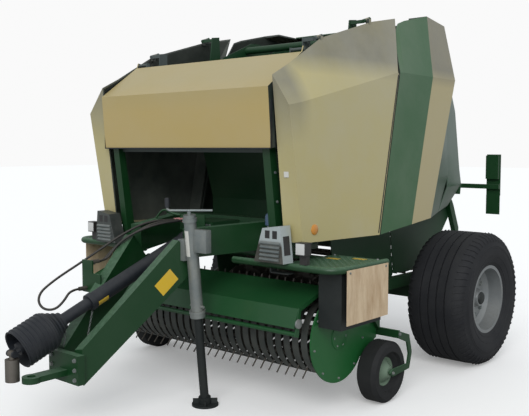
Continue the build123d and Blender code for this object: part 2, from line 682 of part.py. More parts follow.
def tine_reel():
    """The reel's shaft with five tine bars on discs, and one tine for each gap between two bands."""
    half = PICKUP_HALF - PICKUP_SHEET
    reel = rod((-PICKUP_HALF - 12, 0, 0), (PICKUP_HALF + 12, 0, 0), 50)
    for x in (-half + 40, -350, 350, half - 40):
        reel += disc(0, 0, 2 * TINE_BAR_R + 60, x - 5, x + 5)
    for row in range(TINE_ROWS):
        turn = row * 360 / TINE_ROWS + 12
        y, z = TINE_BAR_R * cos(radians(turn)), TINE_BAR_R * sin(radians(turn))
        reel += rod((-half + 35, y, z), (half - 35, y, z), 34)
        middle = (TINE_TIP_R + TINE_BAR_R) / 2
        length = TINE_TIP_R - TINE_BAR_R
        for i in range(BAND_COUNT - 1):
            x = (i - (BAND_COUNT - 2) / 2) * BAND_PITCH
            tine = Box(TINE_DIAMETER, length, TINE_DIAMETER)
            reel += Pos(x, middle * cos(radians(turn)), middle * sin(radians(turn))) * Rot(turn, 0, 0) * tine
    return Pos(0, REEL_Y, REEL_Z) * reel


def wind_guard():
    """The bent sheet and bar that hold the crop down over the pick-up, between two arms."""
    line = [(-1800, 842), (-2080, 739), (-2122, 620)]
    inner = GUARD_HALF - 8
    bar = rod((-inner, -2100, 580), (inner, -2100, 580), 30)
    arm = plate([(-1470, 780), (-1480, 830), (-1520, 835), (-1800, 846), (-2080, 743), (-2122, 570),
                 (-2085, 560), (-2062, 722), (-1800, 818), (-1500, 765)], inner, GUARD_HALF)
    arm -= disc(GUARD_Y, GUARD_Z, 30 + 2 * RUN, inner - 20, inner + 20)
    return group(bar, *flats(line, 4, -inner, inner), arm, right(arm))


def gauge_arm():
    """The bowed flat bar from the pick-up's side plate to the left gauge wheel."""
    wheel_z = GAUGE_DIAMETER / 2 + GAUGE_LIFT
    points = [(-1265, 490), (-1120, 440), (-1082, 310), (-1115, 200), (GAUGE_Y, wheel_z - 25),
              (GAUGE_Y - 30, wheel_z), (GAUGE_Y, wheel_z + 25), (-1140, 238), (-1122, 305),
              (-1148, 392), (-1265, 440)]
    outer = GAUGE_X + GAUGE_WIDTH / 2 + 6
    arm = plate(points, outer, outer + 12)
    arm += disc(GAUGE_Y, wheel_z, GAUGE_PIN, GAUGE_X - 66, outer)
    arm += block(PICKUP_HALF, outer + 12, -1265, -1245, 438, 490)
    return arm


# ---------------------------------------------------------------- drawbar and what stands on it
def drawbar_arms():
    """Two box arms: level beside the gearbox, then down to the hitch."""
    knee_z = sum(ARM_KNEE_Z) / 2
    rear = beam((KNEE[0], KNEE[1], (BEAM_TOP + BEAM_BOTTOM) / 2 - 30),
                (BEAM_REAR[0], BEAM_REAR[1], (BEAM_TOP + BEAM_BOTTOM) / 2),
                (BEAM_WIDTH, 190), (BEAM_WIDTH, BEAM_TOP - BEAM_BOTTOM))
    rear -= block(0, 900, CROSS_Y[0], CROSS_Y[0] + 300, 0, 2000)
    front = beam((ARM_FRONT[0] - 11, ARM_FRONT[1] - 50, sum(ARM_FRONT_Z) / 2 - 44),
                 (KNEE[0], KNEE[1], knee_z),
                 (BEAM_WIDTH, ARM_FRONT_Z[1] - ARM_FRONT_Z[0]), (BEAM_WIDTH, 230))
    front -= block(-100, 400, HITCH_Y - 400, HITCH_Y + 10, 0, 900)
    return mirrored(rear, (front - rear).solids().sort_by(SortBy.VOLUME)[-1])


def hitch_head():
    """The cross flange at the drawbar's tip, with the arm and ring of the tow eye."""
    head = block(-150, 150, HITCH_Y - 40, HITCH_Y + 10, 310, 490)
    ring = Pos(0, EYE_Y, EYE_Z) * Cylinder(EYE_RING / 2, EYE_THICK)
    shank = block(-45, 45, EYE_Y + 20, HITCH_Y - 40, EYE_Z - EYE_THICK / 2, EYE_Z + EYE_THICK / 2)
    return head + ring + shank - Pos(0, EYE_Y, EYE_Z) * Cylinder(EYE_BORE / 2, 200)


def gearbox():
    """The input gearbox between the beams, with its stub for the drive shaft and the cross shaft."""
    box = block(-130, 130, -1930, CROSS_Y[0], 990, 1210)
    box += rod((0, -1929, 1100), (0, -1990, 1100), 120)
    box += knuckle(PTO_ROOT, (0, -1989, 1100), 34)
    box += disc(*CROSS_SHAFT, 48, 129, 670)
    box += disc(*CROSS_SHAFT, 64, 668, 692)
    return box


def jack_point(z):
    """The point on the jack's leaning axis at a height."""
    share = z / JACK_HEIGHT
    return tuple(low + (high - low) * share for low, high in zip(JACK_FOOT, JACK_TOP)) + (z,)


def jack_tube():
    """The jack's outer tube on its bracket on the left arm, with its crank."""
    tube = rod(jack_point(620), jack_point(JACK_HEIGHT), JACK_TUBE, JACK_LEG + 2 * RUN)
    tube += rod(jack_point(620), jack_point(650), JACK_TUBE + 22, JACK_LEG + 2 * RUN)
    tube += rod(jack_point(JACK_HEIGHT), jack_point(JACK_HEIGHT + 12), JACK_TUBE)
    x, y, z = jack_point(1070)
    bracket = block(250, x - JACK_TUBE / 2 + 8, y - 45, y + 45, z - 70, z + 70) - drawbar_arms()
    top = jack_point(JACK_HEIGHT + 40)
    tube += rod(jack_point(JACK_HEIGHT), top, 26)
    reach = (0.755, 0.656)
    near = (top[0] - reach[0] * 140, top[1] - reach[1] * 140, top[2])
    far = (top[0] + reach[0] * 150, top[1] + reach[1] * 150, top[2])
    tube += bent_bar([far, near, (near[0], near[1], near[2] + 80)], 16, 20)
    return tube + bracket.solids().sort_by(Axis.X)[-1]


def jack_leg():
    """The sliding leg and its round foot."""
    leg = rod(jack_point(20), jack_point(820), JACK_LEG)
    foot = Pos(*jack_point(0)) * Cylinder(JACK_PAD / 2, 14, align=(Align.CENTER, Align.CENTER, Align.MIN))
    foot += rod(jack_point(8), jack_point(60), 84) - block(0, 600, -2500, -1900, -100, 5)
    return leg + foot


# ---------------------------------------------------------------- drive shaft
PTO_AXIS = (-sin(radians(PTO_YAW)) * cos(radians(PTO_FALL)), -cos(radians(PTO_YAW)) * cos(radians(PTO_FALL)),
            -sin(radians(PTO_FALL)))


def pto_point(distance):
    """A point on the drive shaft's axis, from its joint at the gearbox."""
    return tuple(PTO_ROOT[i] + PTO_AXIS[i] * distance for i in range(3))


def pto_plane(distance):
    return Plane(origin=pto_point(distance), x_dir=(PTO_AXIS[1], -PTO_AXIS[0], 0), z_dir=PTO_AXIS)


def fork(joint, root):
    """Two ears from a shaft's end to its joint, and the pin across them."""
    x, y, z = joint
    offset = EAR_X + EAR / 2
    part = disc(y, z, YOKE_PIN, x - offset, x + offset)
    for side in (-1, 1):
        ear_x = x + side * EAR_X
        part += rod((root[0] + side * EAR_X, root[1], root[2]), (ear_x, y, z), EAR)
        part += disc(y, z, KNOB, ear_x - EAR / 2, ear_x + EAR / 2)
    return part


def knuckle(joint, root, diameter):
    """The block that turns on a fork's pin, on a neck from its root."""
    x, y, z = joint
    part = disc(y, z, KNOB, x - KNOB / 2, x + KNOB / 2) + rod(root, joint, diameter)
    return part - disc(y, z, YOKE_PIN + 2 * RUN, x - KNOB, x + KNOB)


def pto_rear_tube():
    """The rear half of the guarded drive shaft, with the fork of its joint at the gearbox."""
    tube = rod(pto_point(0), pto_point(880), PTO_OUTER, PTO_INNER + 2 * RUN)
    return tube + rod(pto_point(64), pto_point(90), PTO_INNER + 6) + fork(pto_point(0), pto_point(70))


def pto_front_tube():
    """The front half, with its ribbed bell."""
    start, mouth = 1110, 1400
    tube = rod(pto_point(560), pto_point(start + 12), PTO_INNER)
    bell = loft([pto_plane(start) * Circle(60), pto_plane(start + 80) * Circle(PTO_BELL / 2),
                 pto_plane(mouth) * Circle(PTO_BELL / 2)], ruled=True)
    hollow = loft([pto_plane(start + 25) * Circle(50), pto_plane(start + 84) * Circle(PTO_BELL / 2 - 8),
                   pto_plane(mouth + 10) * Circle(PTO_BELL / 2 - 8)], ruled=True)
    shaft = rod(pto_point(start + 5), pto_point(PTO_JOINT - 48), 50)
    shaft += rod(pto_point(PTO_JOINT - 64), pto_point(PTO_JOINT - 44), 78)
    return tube + (bell - hollow) + shaft + fork(pto_point(PTO_JOINT), pto_point(PTO_JOINT - 50))


def pto_yoke():
    """The splined yoke for the tractor's shaft, hanging from its joint in front of the bell."""
    x, y, z = pto_point(PTO_JOINT)
    part = knuckle((x, y, z), (x, y, z - 40), 34) + rod((x, y, z - 32), (x, y, z - YOKE_REACH), 84)
    return part - rod((x, y, z - YOKE_REACH + YOKE_DEPTH), (x, y, z - YOKE_REACH - 5), YOKE_BORE)


# ---------------------------------------------------------------- platforms and fittings
def platform():
    """The left step platform: a folded tray, its bumper bar, and the hanger that carries them."""
    x0, x1 = PLATFORM_X
    y0, y1 = PLATFORM_Y
    tray = block(x0, x1, y0, y1, PLATFORM_TOP - TRAY_DEPTH, PLATFORM_TOP)
    tray -= block(x0 + 6, x1 - 6, y0 + 6, y1 - 6, 0, PLATFORM_TOP - 6)
    bar = bent_bar([(450, BUMPER_Y, BUMPER_Z), (BUMPER_X, BUMPER_Y, BUMPER_Z), (BUMPER_X, y1, BUMPER_Z)],
                   BUMPER, 110)
    links = block(x0 + 20, x0 + 80, BUMPER_Y, y0 + 3, PLATFORM_TOP - 25, PLATFORM_TOP - 3)
    links += block(x1 - 3, BUMPER_X, -1600, -1540, PLATFORM_TOP - 25, PLATFORM_TOP - 3)
    links += block(610, x0 + 3, -1640, -1570, PLATFORM_TOP - 28, PLATFORM_TOP - 3)
    links += block(610, 656, -1640, -1570, PLATFORM_TOP - 10, BEAM_BOTTOM)
    return tray + bar + links


def side_casing():
    """The slim casing under the left platform."""
    return block(1080, PLATFORM_X[1], -1950, -1510, 610, PLATFORM_TOP - TRAY_DEPTH)


def warning_boards():
    """Two bare boards that hang beside the bumper bars' outer runs."""
    face = BUMPER_X + BUMPER / 2 + SEAT
    return pair(block(face, face + 4, -1960, -1500, 650, BUMPER_Z))


def wheel_chocks():
    """Two folded wheel chocks on brackets on the bumper bars."""
    z0 = BUMPER_Z + BUMPER / 2 + SEAT
    wedge = Plane.XZ.offset(2030) * make_face(Polyline((700, z0), (940, z0), (915, z0 + 235),
                                                       (770, z0 + 215), close=True))
    chock = extrude(wedge, 100)
    hole = Plane.XZ.offset(2034) * make_face(Polyline((704, z0 - 1), (936, z0 - 1), (911, z0 + 231),
                                                      (773, z0 + 211),
                                                      close=True))
    chock -= extrude(hole, 92)
    chock += block(780, 860, -2034, BUMPER_Y, z0, z0 + 8)
    return pair(chock)


def front_lamps():
    """Small marker lamps on posts on the bumper bars."""
    z0 = BUMPER_Z + BUMPER / 2 + SEAT
    lamp = block(1020, 1075, BUMPER_Y - 15, BUMPER_Y + 15, z0, z0 + 60)
    lamp += block(1010, 1085, BUMPER_Y - 45, BUMPER_Y + 15, z0 + 60, z0 + 140)
    return pair(lamp)


# ---------------------------------------------------------------- hoses
GLAND_Y = -2000
GLAND_Z = 1225
GLAND_LENGTH = 26
HOLDER_Y = (-2690, -2680)
COUPLER_LENGTH = 60
HOSE_START = GLAND_Y - GLAND_LENGTH
HOSE_ROUTES = {
    "hose_1": [
        (-100, HOSE_START, GLAND_Z), (-100, -2100, GLAND_Z), (-165, -2260, 1222), (-235, -2410, 1152),
        (-312, -2560, 1045), (-378, -2690, 952), (-405, -2800, 892), (-416, -2890, 842), (-422, -2968, 790),
        (-398, -3000, 732), (-345, -2990, 690), (-302, -2935, 688), (-298, -2870, 735), (-300, -2820, 798),
        (-300, HOLDER_Y[0] - COUPLER_LENGTH, 798)],
    "hose_2": [
        (-60, HOSE_START, GLAND_Z), (-60, -2100, GLAND_Z), (-125, -2260, 1212), (-190, -2380, 1142),
        (-245, -2450, 1085), (-285, -2500, 1020), (-304, -2552, 960),
        (-304, HOLDER_Y[1] + COUPLER_LENGTH, 960)],
    "hose_3": [
        (-20, HOSE_START, GLAND_Z), (-20, -2095, GLAND_Z), (-85, -2250, 1208), (-152, -2370, 1162),
        (-218, -2440, 1107), (-256, -2495, 1042), (-256, -2552, 975),
        (-256, HOLDER_Y[1] + COUPLER_LENGTH, 975)],
}


def hose(points):
    """A free hose: straight runs joined by arcs as large as the shorter run allows."""
    radii = []
    for before, corner, after in zip(points, points[1:], points[2:]):
        run_in = Vector(*corner) - Vector(*before)
        run_out = Vector(*after) - Vector(*corner)
        turn = radians(run_in.get_angle(run_out))
        radii.append(0.45 * min(run_in.length, run_out.length) / tan(turn / 2))
    print("hose radii", [round(radius) for radius in radii])
    path = FilletPolyline(*points, radius=radii)
    solid = sweep(Plane(origin=path @ 0, z_dir=path % 0) * Circle(HOSE_DIAMETER / 2), path=path)
    expected = path.length * pi * HOSE_DIAMETER ** 2 / 4
    print("hose length", round(path.length), "volume ratio", round(solid.volume / expected, 4))
    return solid


def hose_holder():
    """The gland plate on the gearbox and the coupler plate on the right arm."""
    plate_1 = block(-125, 125, GLAND_Y, GLAND_Y + 6, 1150, 1262)
    plate_1 += block(-60, 60, GLAND_Y + 5, -1930, 1190, 1200)
    for route in HOSE_ROUTES.values():
        x, y, z = route[0]
        plate_1 += rod((x, GLAND_Y, z), (x, y, z), GLAND_DIAMETER)
    plate_2 = block(-345, -235, *HOLDER_Y, 770, 985)
    plate_2 += block(-235, -150, *HOLDER_Y, 700, 900)
    cut = plate_2 - drawbar_arms()
    return group(plate_1, cut.solids().sort_by(SortBy.VOLUME)[-1])


def hose_couplers():
    """The hose ends, parked in the coupler plate."""
    front, rear = HOLDER_Y
    solids = []
    for x, y, z in (route[-1] for route in HOSE_ROUTES.values()):
        solids.append(rod((x, front if y < front else rear, z), (x, y, z), 28))
    return group(*solids)


def build():
    """Every sub-part by its name, with the axle at Y = 0."""
    wheel_z = TYRE_DIAMETER / 2
    gauge_z = GAUGE_DIAMETER / 2 + GAUGE_LIFT
    left_tyre = Pos(WHEEL_X, 0, wheel_z) * tyre()
    left_rim = Pos(WHEEL_X, 0, wheel_z) * rim()
    hood = side_hood()
    cover = tailgate_cover()
    barrel = cylinder_barrel()
    piston = cylinder_rod()
    small = Pos(GAUGE_X, GAUGE_Y, gauge_z) * gauge_wheel()
    return {
        "axle_beam": axle_beam(),
        "tyre_left": left_tyre, "tyre_right": right(left_tyre),
        "rim_left": left_rim, "rim_right": right(left_rim),
        "chamber_sides": chamber_sides(),
        "frame_members": frame_members(),
        "top_frame": top_frame(),
        "front_posts": front_posts(),
        "net_box": net_box(),
        "front_conveyor": conveyor(134, 214),
        "rotor_housing": rotor_housing(),
        "feed_rotor": feed_rotor(),
        "side_hood_left": hood, "side_hood_right": right(hood),
        "tailgate_cover_left": cover, "tailgate_cover_right": right(cover),
        "tailgate_rear_cover": tailgate_rear_cover(),
        "tailgate_sides": tailgate_sides(),
        "tailgate_conveyor": conveyor(-105, 122),
        "tailgate_braces": tailgate_braces(),
        "rear_lamps": rear_lamps(),
        "front_cover": front_cover(),
        "cylinder_barrel_left": barrel, "cylinder_barrel_right": right(barrel),
        "cylinder_rod_left": piston, "cylinder_rod_right": right(piston),
        "pickup_bands": pickup_bands(),
        "pickup_sides": pickup_sides(),
        "pickup_frame": pickup_frame(),
        "tine_reel": tine_reel(),
        "wind_guard": wind_guard(),
        "gauge_arms": pair(gauge_arm()),
        "gauge_wheel_left": small, "gauge_wheel_right": right(small),
        "drawbar_arms": drawbar_arms(),
        "hitch_head": hitch_head(),
        "gearbox": gearbox(),
        "jack_tube": jack_tube(),
        "jack_leg": jack_leg(),
        "pto_rear_tube": pto_rear_tube(),
        "pto_front_tube": pto_front_tube(),
        "pto_yoke": pto_yoke(),
        "platform_left": platform(), "platform_right": right(platform()),
        "side_casing": side_casing(),
        "warning_boards": warning_boards(),
        "wheel_chocks": wheel_chocks(),
        "front_lamps": front_lamps(),
        "hose_holder": hose_holder(),
        "hose_couplers": hose_couplers(),
        **{name: hose(points) for name, points in HOSE_ROUTES.items()},
    }


def middle_y(parts):
    """Half way between the front and the rear of everything."""
    boxes = [part.bounding_box() for part in parts.values()]
    return (min(box.min.Y for box in boxes) + max(box.max.Y for box in boxes)) / 2


if __name__ == "__main__":
    parts = build()
    shift = -middle_y(parts)
    print("moved along Y by", round(shift, 3))
    os.makedirs("parts", exist_ok=True)
    for name, part in parts.items():
        export_step(Pos(0, shift, 0) * part, f"parts/{name}.step")
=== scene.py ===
# %% [markdown]
# This script gives a packed round baler its looks. The solid pieces come from the CAD model and are never
# moved: here they get paint, rust and dust, with some light and shade painted into their colours, and the
# small things that a solid model leaves out are added, such as tread blocks, bolts, lamp lenses, ribs and
# hoses. Everything is in metres, in the model's own frame: +Y to the rear, +X to the machine's left, +Z up.

# %% Load the imported model
import bpy
import bmesh
import math
from mathutils import Matrix, Vector


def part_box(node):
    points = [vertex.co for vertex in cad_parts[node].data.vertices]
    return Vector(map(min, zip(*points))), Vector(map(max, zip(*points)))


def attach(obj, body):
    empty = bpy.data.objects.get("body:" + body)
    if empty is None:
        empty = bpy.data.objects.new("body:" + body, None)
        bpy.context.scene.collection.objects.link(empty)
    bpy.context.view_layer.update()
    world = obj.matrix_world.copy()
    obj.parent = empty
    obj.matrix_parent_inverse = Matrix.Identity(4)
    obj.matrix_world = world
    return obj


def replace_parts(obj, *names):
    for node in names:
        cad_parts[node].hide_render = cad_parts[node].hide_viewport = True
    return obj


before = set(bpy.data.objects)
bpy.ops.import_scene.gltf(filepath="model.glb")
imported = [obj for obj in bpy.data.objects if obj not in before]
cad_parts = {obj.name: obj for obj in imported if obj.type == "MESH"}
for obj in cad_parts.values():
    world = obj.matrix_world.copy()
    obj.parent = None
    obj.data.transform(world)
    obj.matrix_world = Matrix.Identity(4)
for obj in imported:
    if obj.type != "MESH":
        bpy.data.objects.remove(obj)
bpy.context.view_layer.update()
tyre_low, tyre_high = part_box("tyre_left")
AXLE = (tyre_low + tyre_high) / 2
SIDES = (("left", 1), ("right", -1))
FRONT, REAR, LEFT, UP = (0, -1, 0), (0, 1, 0), (1, 0, 0), (0, 0, 1)


def at(x, y, z):
    """A point of the machine measured from the axle's middle: y to the rear, z from the ground."""
    return Vector((x, y + AXLE.y, z))


def new_object(name, data):
    """An object for some data, linked into the scene."""
    made = bpy.data.objects.new(name, data)
    bpy.context.collection.objects.link(made)
    return made


# %% [markdown]
# The camera comes first, because every choice below is judged through it. It stands at the machine's front
# left, a little above the drawbar, with a normal lens. A camera looks along its own -Z, so it is tipped up
# by nearly a right angle and then turned about the upright axis.

# %% Camera
CAMERA_TURN = math.radians(41.0)
CAMERA_DIP = math.radians(4.43)

lens = bpy.data.cameras.new("camera")
lens.lens = 53.08
lens.sensor_width = 36
camera = new_object("camera", lens)
camera.location = at(3.981, -5.802, 1.732)
camera.rotation_euler = (math.pi / 2 - CAMERA_DIP, 0, CAMERA_TURN)
bpy.context.scene.camera = camera
print("camera at", [round(value, 2) for value in camera.location])

# %% [markdown]
# Three hydraulic hoses hang over the right drawbar arm. A hose is a fixed length of something flexible, so
# each is one smooth NURBS curve through a few control points, with a round bevel. The order is set after
# the points, because a new spline with few points would fall back to straight runs.

# %% Hoses
HOSE_RADIUS = 0.008
HOSE_ROUTES = {
    "hose_1": [
        (-0.100, -2.026, 1.225), (-0.100, -2.100, 1.225), (-0.165, -2.260, 1.222), (-0.235, -2.410, 1.152),
        (-0.312, -2.560, 1.045), (-0.378, -2.690, 0.952), (-0.405, -2.800, 0.892), (-0.416, -2.890, 0.842),
        (-0.422, -2.968, 0.790), (-0.398, -3.000, 0.732), (-0.345, -2.990, 0.690), (-0.302, -2.935, 0.688),
        (-0.298, -2.870, 0.735), (-0.300, -2.820, 0.798), (-0.300, -2.750, 0.798)],
    "hose_2": [
        (-0.060, -2.026, 1.225), (-0.060, -2.100, 1.225), (-0.125, -2.260, 1.212), (-0.190, -2.380, 1.142),
        (-0.245, -2.450, 1.085), (-0.285, -2.500, 1.020), (-0.304, -2.552, 0.960), (-0.304, -2.620, 0.960)],
    "hose_3": [
        (-0.020, -2.026, 1.225), (-0.020, -2.095, 1.225), (-0.085, -2.250, 1.208), (-0.152, -2.370, 1.162),
        (-0.218, -2.440, 1.107), (-0.256, -2.495, 1.042), (-0.256, -2.552, 0.975), (-0.256, -2.620, 0.975)],
}


def smooth_curve(name, points, radius):
    """One open NURBS curve with a round section.

    The section is a unit circle scaled by each point's own radius, so that the curve's box is true: Blender
    widens that box by the points' radius, which is a whole metre unless it is set."""
    data = bpy.data.curves.new(name, "CURVE")
    data.dimensions = "3D"
    data.resolution_u = 12
    data.bevel_depth = 1.0
    data.bevel_resolution = 4
    data.use_fill_caps = True
    spline = data.splines.new("NURBS")
    spline.points.add(len(points) - 1)
    for knot, point in zip(spline.points, points):
        knot.co = (*point, 1)
        knot.radius = radius
    spline.order_u = 3
    spline.use_endpoint_u = True
    return new_object(name, data)


def baked(item):
    """A plain mesh of what an object shows, after its bevel or its modifiers."""
    bpy.context.view_layer.update()
    return bpy.data.meshes.new_from_object(item.evaluated_get(bpy.context.evaluated_depsgraph_get()))


def line_length(curve):
    """The length of a curve's own line, measured on a copy without its bevel."""
    depth, curve.data.bevel_depth = curve.data.bevel_depth, 0
    mesh = baked(curve)
    curve.data.bevel_depth = depth
    length = sum((mesh.vertices[edge.vertices[0]].co - mesh.vertices[edge.vertices[1]].co).length
                 for edge in mesh.edges)
    bpy.data.meshes.remove(mesh)
    return length


hoses = []
for name, route in HOSE_ROUTES.items():
    points = [at(*point) for point in route]
    hose = smooth_curve(name + "_line", points, HOSE_RADIUS)
    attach(hose, "frame")
    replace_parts(hose, name)
    length = line_length(hose)
    hoses.append(hose)
    print(name, "length", round(length, 3))

# %% [markdown]
# The studio: a plain floor, an even sky and one large soft lamp from the front left, so that a colour
# renders about as it is written and the shadow under the machine stays soft. Only what the camera sees
# directly is made near-white, by the Light Path node; the light that the floor and the sky give stays that
# of a grey day. Nodes are made with a few helpers: each input is given a plain value, or the socket that it
# is linked from.

# %% Floor, sky and lamp
bpy.context.scene.view_settings.view_transform = "Standard"


def fill(tree, made, inputs):
    """Gives a node its inputs: a plain value each, or a socket to link from."""
    for key, value in inputs.items():
        if isinstance(value, bpy.types.NodeSocket):
            tree.links.new(value, made.inputs[key])
        else:
            made.inputs[key].default_value = value


def node(tree, kind, inputs=None, **settings):
    """A node with its settings and its inputs."""
    made = tree.nodes.new(kind)
    for key, value in settings.items():
        setattr(made, key, value)
    fill(tree, made, inputs or {})
    return made


def maths(tree, operation, a, b=0.0, clamp=False):
    """The result socket of one Math node."""
    return node(tree, "ShaderNodeMath", {0: a, 1: b}, operation=operation, use_clamp=clamp).outputs[0]


def times(tree, a, b, clamp=False):
    """Two values multiplied."""
    return maths(tree, "MULTIPLY", a, b, clamp)


def mix_colours(tree, share, a, b):
    """A Mix node for colours: 0 is its factor, and 6 and 7 are its colour sockets."""
    return node(tree, "ShaderNodeMix", {0: share, 6: a, 7: b}, data_type="RGBA").outputs[2]


def nodes_for(data):
    """A material's or a world's node tree, and the socket that says whether the camera looks."""
    data.use_nodes = True
    tree = data.node_tree
    return tree, node(tree, "ShaderNodeLightPath").outputs["Is Camera Ray"]


def stage_floor(size=60):
    """A wide plain floor; the camera sees it paler than the light it bounces."""
    mesh = bpy.data.meshes.new("floor")
    mesh.from_pydata([(-size, -size, 0), (size, -size, 0), (size, size, 0), (-size, size, 0)], [],
                     [(0, 1, 2, 3)])
    material = bpy.data.materials.new("floor")
    tree, seen = nodes_for(material)
    fill(tree, tree.nodes["Principled BSDF"], {
        "Roughness": 0.9, "Specular IOR Level": 0.0,
        "Base Color": mix_colours(tree, seen, (0.45, 0.45, 0.44, 1), (0.93, 0.93, 0.925, 1)),
        "Emission Color": (0.955, 0.955, 0.95, 1), "Emission Strength": times(tree, seen, 0.20)})
    mesh.materials.append(material)
    new_object("floor", mesh)


def make_sky():
    """An even sky, white to the camera and a little bluer as a light."""
    world = bpy.data.worlds.new("studio")
    bpy.context.scene.world = world
    tree, seen = nodes_for(world)
    light = tree.nodes["Background"]
    fill(tree, light, {"Color": (0.93, 0.965, 1, 1), "Strength": 0.62})
    white = node(tree, "ShaderNodeBackground", {"Color": (0.955, 0.955, 0.955, 1)})
    mix = node(tree, "ShaderNodeMixShader", {0: seen, 1: light.outputs[0], 2: white.outputs[0]})
    fill(tree, tree.nodes["World Output"], {"Surface": mix.outputs[0]})


stage_floor()
make_sky()
lamp = bpy.data.lights.new("key", "SUN")
lamp.energy = 1.6
lamp.angle = math.radians(40)
sun = new_object("key", lamp)
sun.rotation_euler = (math.radians(58), 0, math.radians(34))
print("stage ready")

# %% [markdown]
# Every finish shares two effects. "weathering" breaks a colour up with broad and fine blotches, and lays
# dust over it: "Lying" says how much rests on faces that look up, and "Low" how much gathers near the
# ground. On the green paints, what lies on faces that look up is a pale green: a painted highlight, not
# dust. "line_distance" tells how far a point lies behind a line that leans like the seam of the side
# covers; the stripe on the tailgate is painted with it. A shader node group is built once and then placed
# in each material with its own values.

# %% Node groups
def sockets(tree, rows, direction="INPUT"):
    """Named sockets on a node group, each a (name, kind) or a (name, kind, value)."""
    for name, kind, *value in rows:
        made = tree.interface.new_socket(name, in_out=direction, socket_type="NodeSocket" + kind)
        if value:
            made.default_value = value[0]


def ramp(tree, value, low, high, to_low=0.0, to_high=1.0):
    """The value mapped from one range to another and kept inside it."""
    return node(tree, "ShaderNodeMapRange", {"Value": value, "From Min": low, "From Max": high,
                                             "To Min": to_low, "To Max": to_high}).outputs["Result"]


def noise(tree, place, scale, detail=4.0, roughness=0.6):
    """The value of a noise pattern."""
    return node(tree, "ShaderNodeTexNoise", {"Vector": place, "Scale": scale, "Detail": detail,
                                             "Roughness": roughness}).outputs["Fac"]


def here(tree):
    """The point that is being shaded, in the model's own frame."""
    return node(tree, "ShaderNodeTexCoord").outputs["Object"]


def parts_of(tree, vector):
    """The X, Y and Z sockets of a vector."""
    return node(tree, "ShaderNodeSeparateXYZ", {"Vector": vector}).outputs


def facing_parts(tree, which="True Normal"):
    """The X, Y and Z sockets of the direction that a face looks along."""
    return parts_of(tree, node(tree, "ShaderNodeNewGeometry").outputs[which])


def make_weathering():
    """Dust and blotches over a base colour; on the green paints the colour laid on faces that look up is a
    painted highlight.
    """
    tree = bpy.data.node_groups.new("weathering", "ShaderNodeTree")
    sockets(tree, [("Base", "Color", (0.5, 0.5, 0.5, 1)), ("Dust", "Color", (0.28, 0.24, 0.18, 1)),
                   ("Dust Amount", "Float", 0.4), ("Lying", "Float", 0.3), ("Low", "Float", 0.55),
                   ("Fade", "Float", 0.2), ("Scale", "Float", 3.0), ("Roughness", "Float", 0.4)])
    sockets(tree, [("Color", "Color"), ("Roughness", "Float")], "OUTPUT")
    given = node(tree, "NodeGroupInput").outputs
    place = here(tree)
    broad = noise(tree, place, given["Scale"], 5.0, 0.65)
    fine = noise(tree, place, times(tree, given["Scale"], 14.0), 6.0, 0.7)
    lying = ramp(tree, facing_parts(tree, "Normal")["Z"], 0.15, 0.95)
    low = times(tree, ramp(tree, parts_of(tree, place)["Z"], 0.1, 1.3, 1.0, 0.0), given["Low"])
    patches = ramp(tree, broad, 0.38, 0.68)
    speckle = ramp(tree, fine, 0.42, 0.66)
    cover = maths(tree, "ADD", low, times(tree, patches, 0.35))
    cover = times(tree, cover, given["Dust Amount"])
    cover = maths(tree, "ADD", cover, times(tree, lying, given["Lying"]))
    broken = maths(tree, "ADD", times(tree, speckle, 0.6), 0.5)
    cover = times(tree, cover, broken, clamp=True)
    faded = mix_colours(tree, times(tree, patches, given["Fade"]), given["Base"], (0.5, 0.5, 0.46, 1))
    rough = maths(tree, "ADD", given["Roughness"], times(tree, cover, 0.4), clamp=True)
    node(tree, "NodeGroupOutput", {"Color": mix_colours(tree, cover, faded, given["Dust"]),
                                   "Roughness": rough})
    return tree


def make_line_distance():
    """How far behind a kinked leaning line a point lies, along Y."""
    tree = bpy.data.node_groups.new("line_distance", "ShaderNodeTree")
    sockets(tree, [("Low Z", "Float", 1.1), ("Crease Z", "Float", 2.3), ("Top Z", "Float", 2.8),
                   ("Low Y", "Float", 0.0), ("Crease Y", "Float", 0.3), ("Top Y", "Float", 0.4)])
    sockets(tree, [("Distance", "Float")], "OUTPUT")
    given = node(tree, "NodeGroupInput").outputs
    parts = parts_of(tree, here(tree))
    rise = maths(tree, "SUBTRACT", given["Top Y"], given["Crease Y"])
    lower = ramp(tree, parts["Z"], given["Low Z"], given["Crease Z"], given["Low Y"], given["Crease Y"])
    upper = ramp(tree, parts["Z"], given["Crease Z"], given["Top Z"], 0.0, rise)
    line = maths(tree, "ADD", lower, upper)
    node(tree, "NodeGroupOutput", {"Distance": maths(tree, "SUBTRACT", parts["Y"], line)})
    return tree


WEATHERING = make_weathering()
LINE_DISTANCE = make_line_distance()
print("node groups", [tree.name for tree in (WEATHERING, LINE_DISTANCE)])

# %% [markdown]
# Finishes. Each is one Principled shader fed by the weathering group: farm paint that has stood outside is
# glossy only where rain keeps it clean, galvanised steel is blotchy, and rubber greys with dust. A plain
# finish is one row of values in a table. Where a colour changes over a piece, as on the striped covers, the
# row holds a function that draws the colour with nodes.

# %% Colours that change over a piece
HOOD_EDGE = AXLE.y - 1.90
PAINT_EDGE = 0.002  # half the width over which one colour meets the next


def paint_of(tree, colour):
    """The input for a colour, which is three numbers or a function of the tree."""
    return colour(tree) if callable(colour) else (*colour, 1)


def greyed_by_painted_shade(colour):
    """A cream with a darker grey painted above the covers' crease and round the hoods' front edge, broken up
    by noise: painted shade.
    """
    def paint(tree):
        place = here(tree)
        parts = parts_of(tree, place)
        high = ramp(tree, parts["Z"], 2.20, 2.34)
        front = times(tree, ramp(tree, parts["Y"], HOOD_EDGE, HOOD_EDGE - 0.12, 0.0, 1.0),
                      ramp(tree, parts["Z"], 1.75, 2.15))
        cloudy = maths(tree, "ADD", times(tree, noise(tree, place, 2.2, 4.0), 0.5), 0.5)
        grey = times(tree, maths(tree, "MAXIMUM", high, front), cloudy, clamp=True)
        return mix_colours(tree, grey, paint_of(tree, colour), (0.150, 0.150, 0.132, 1))
    return paint


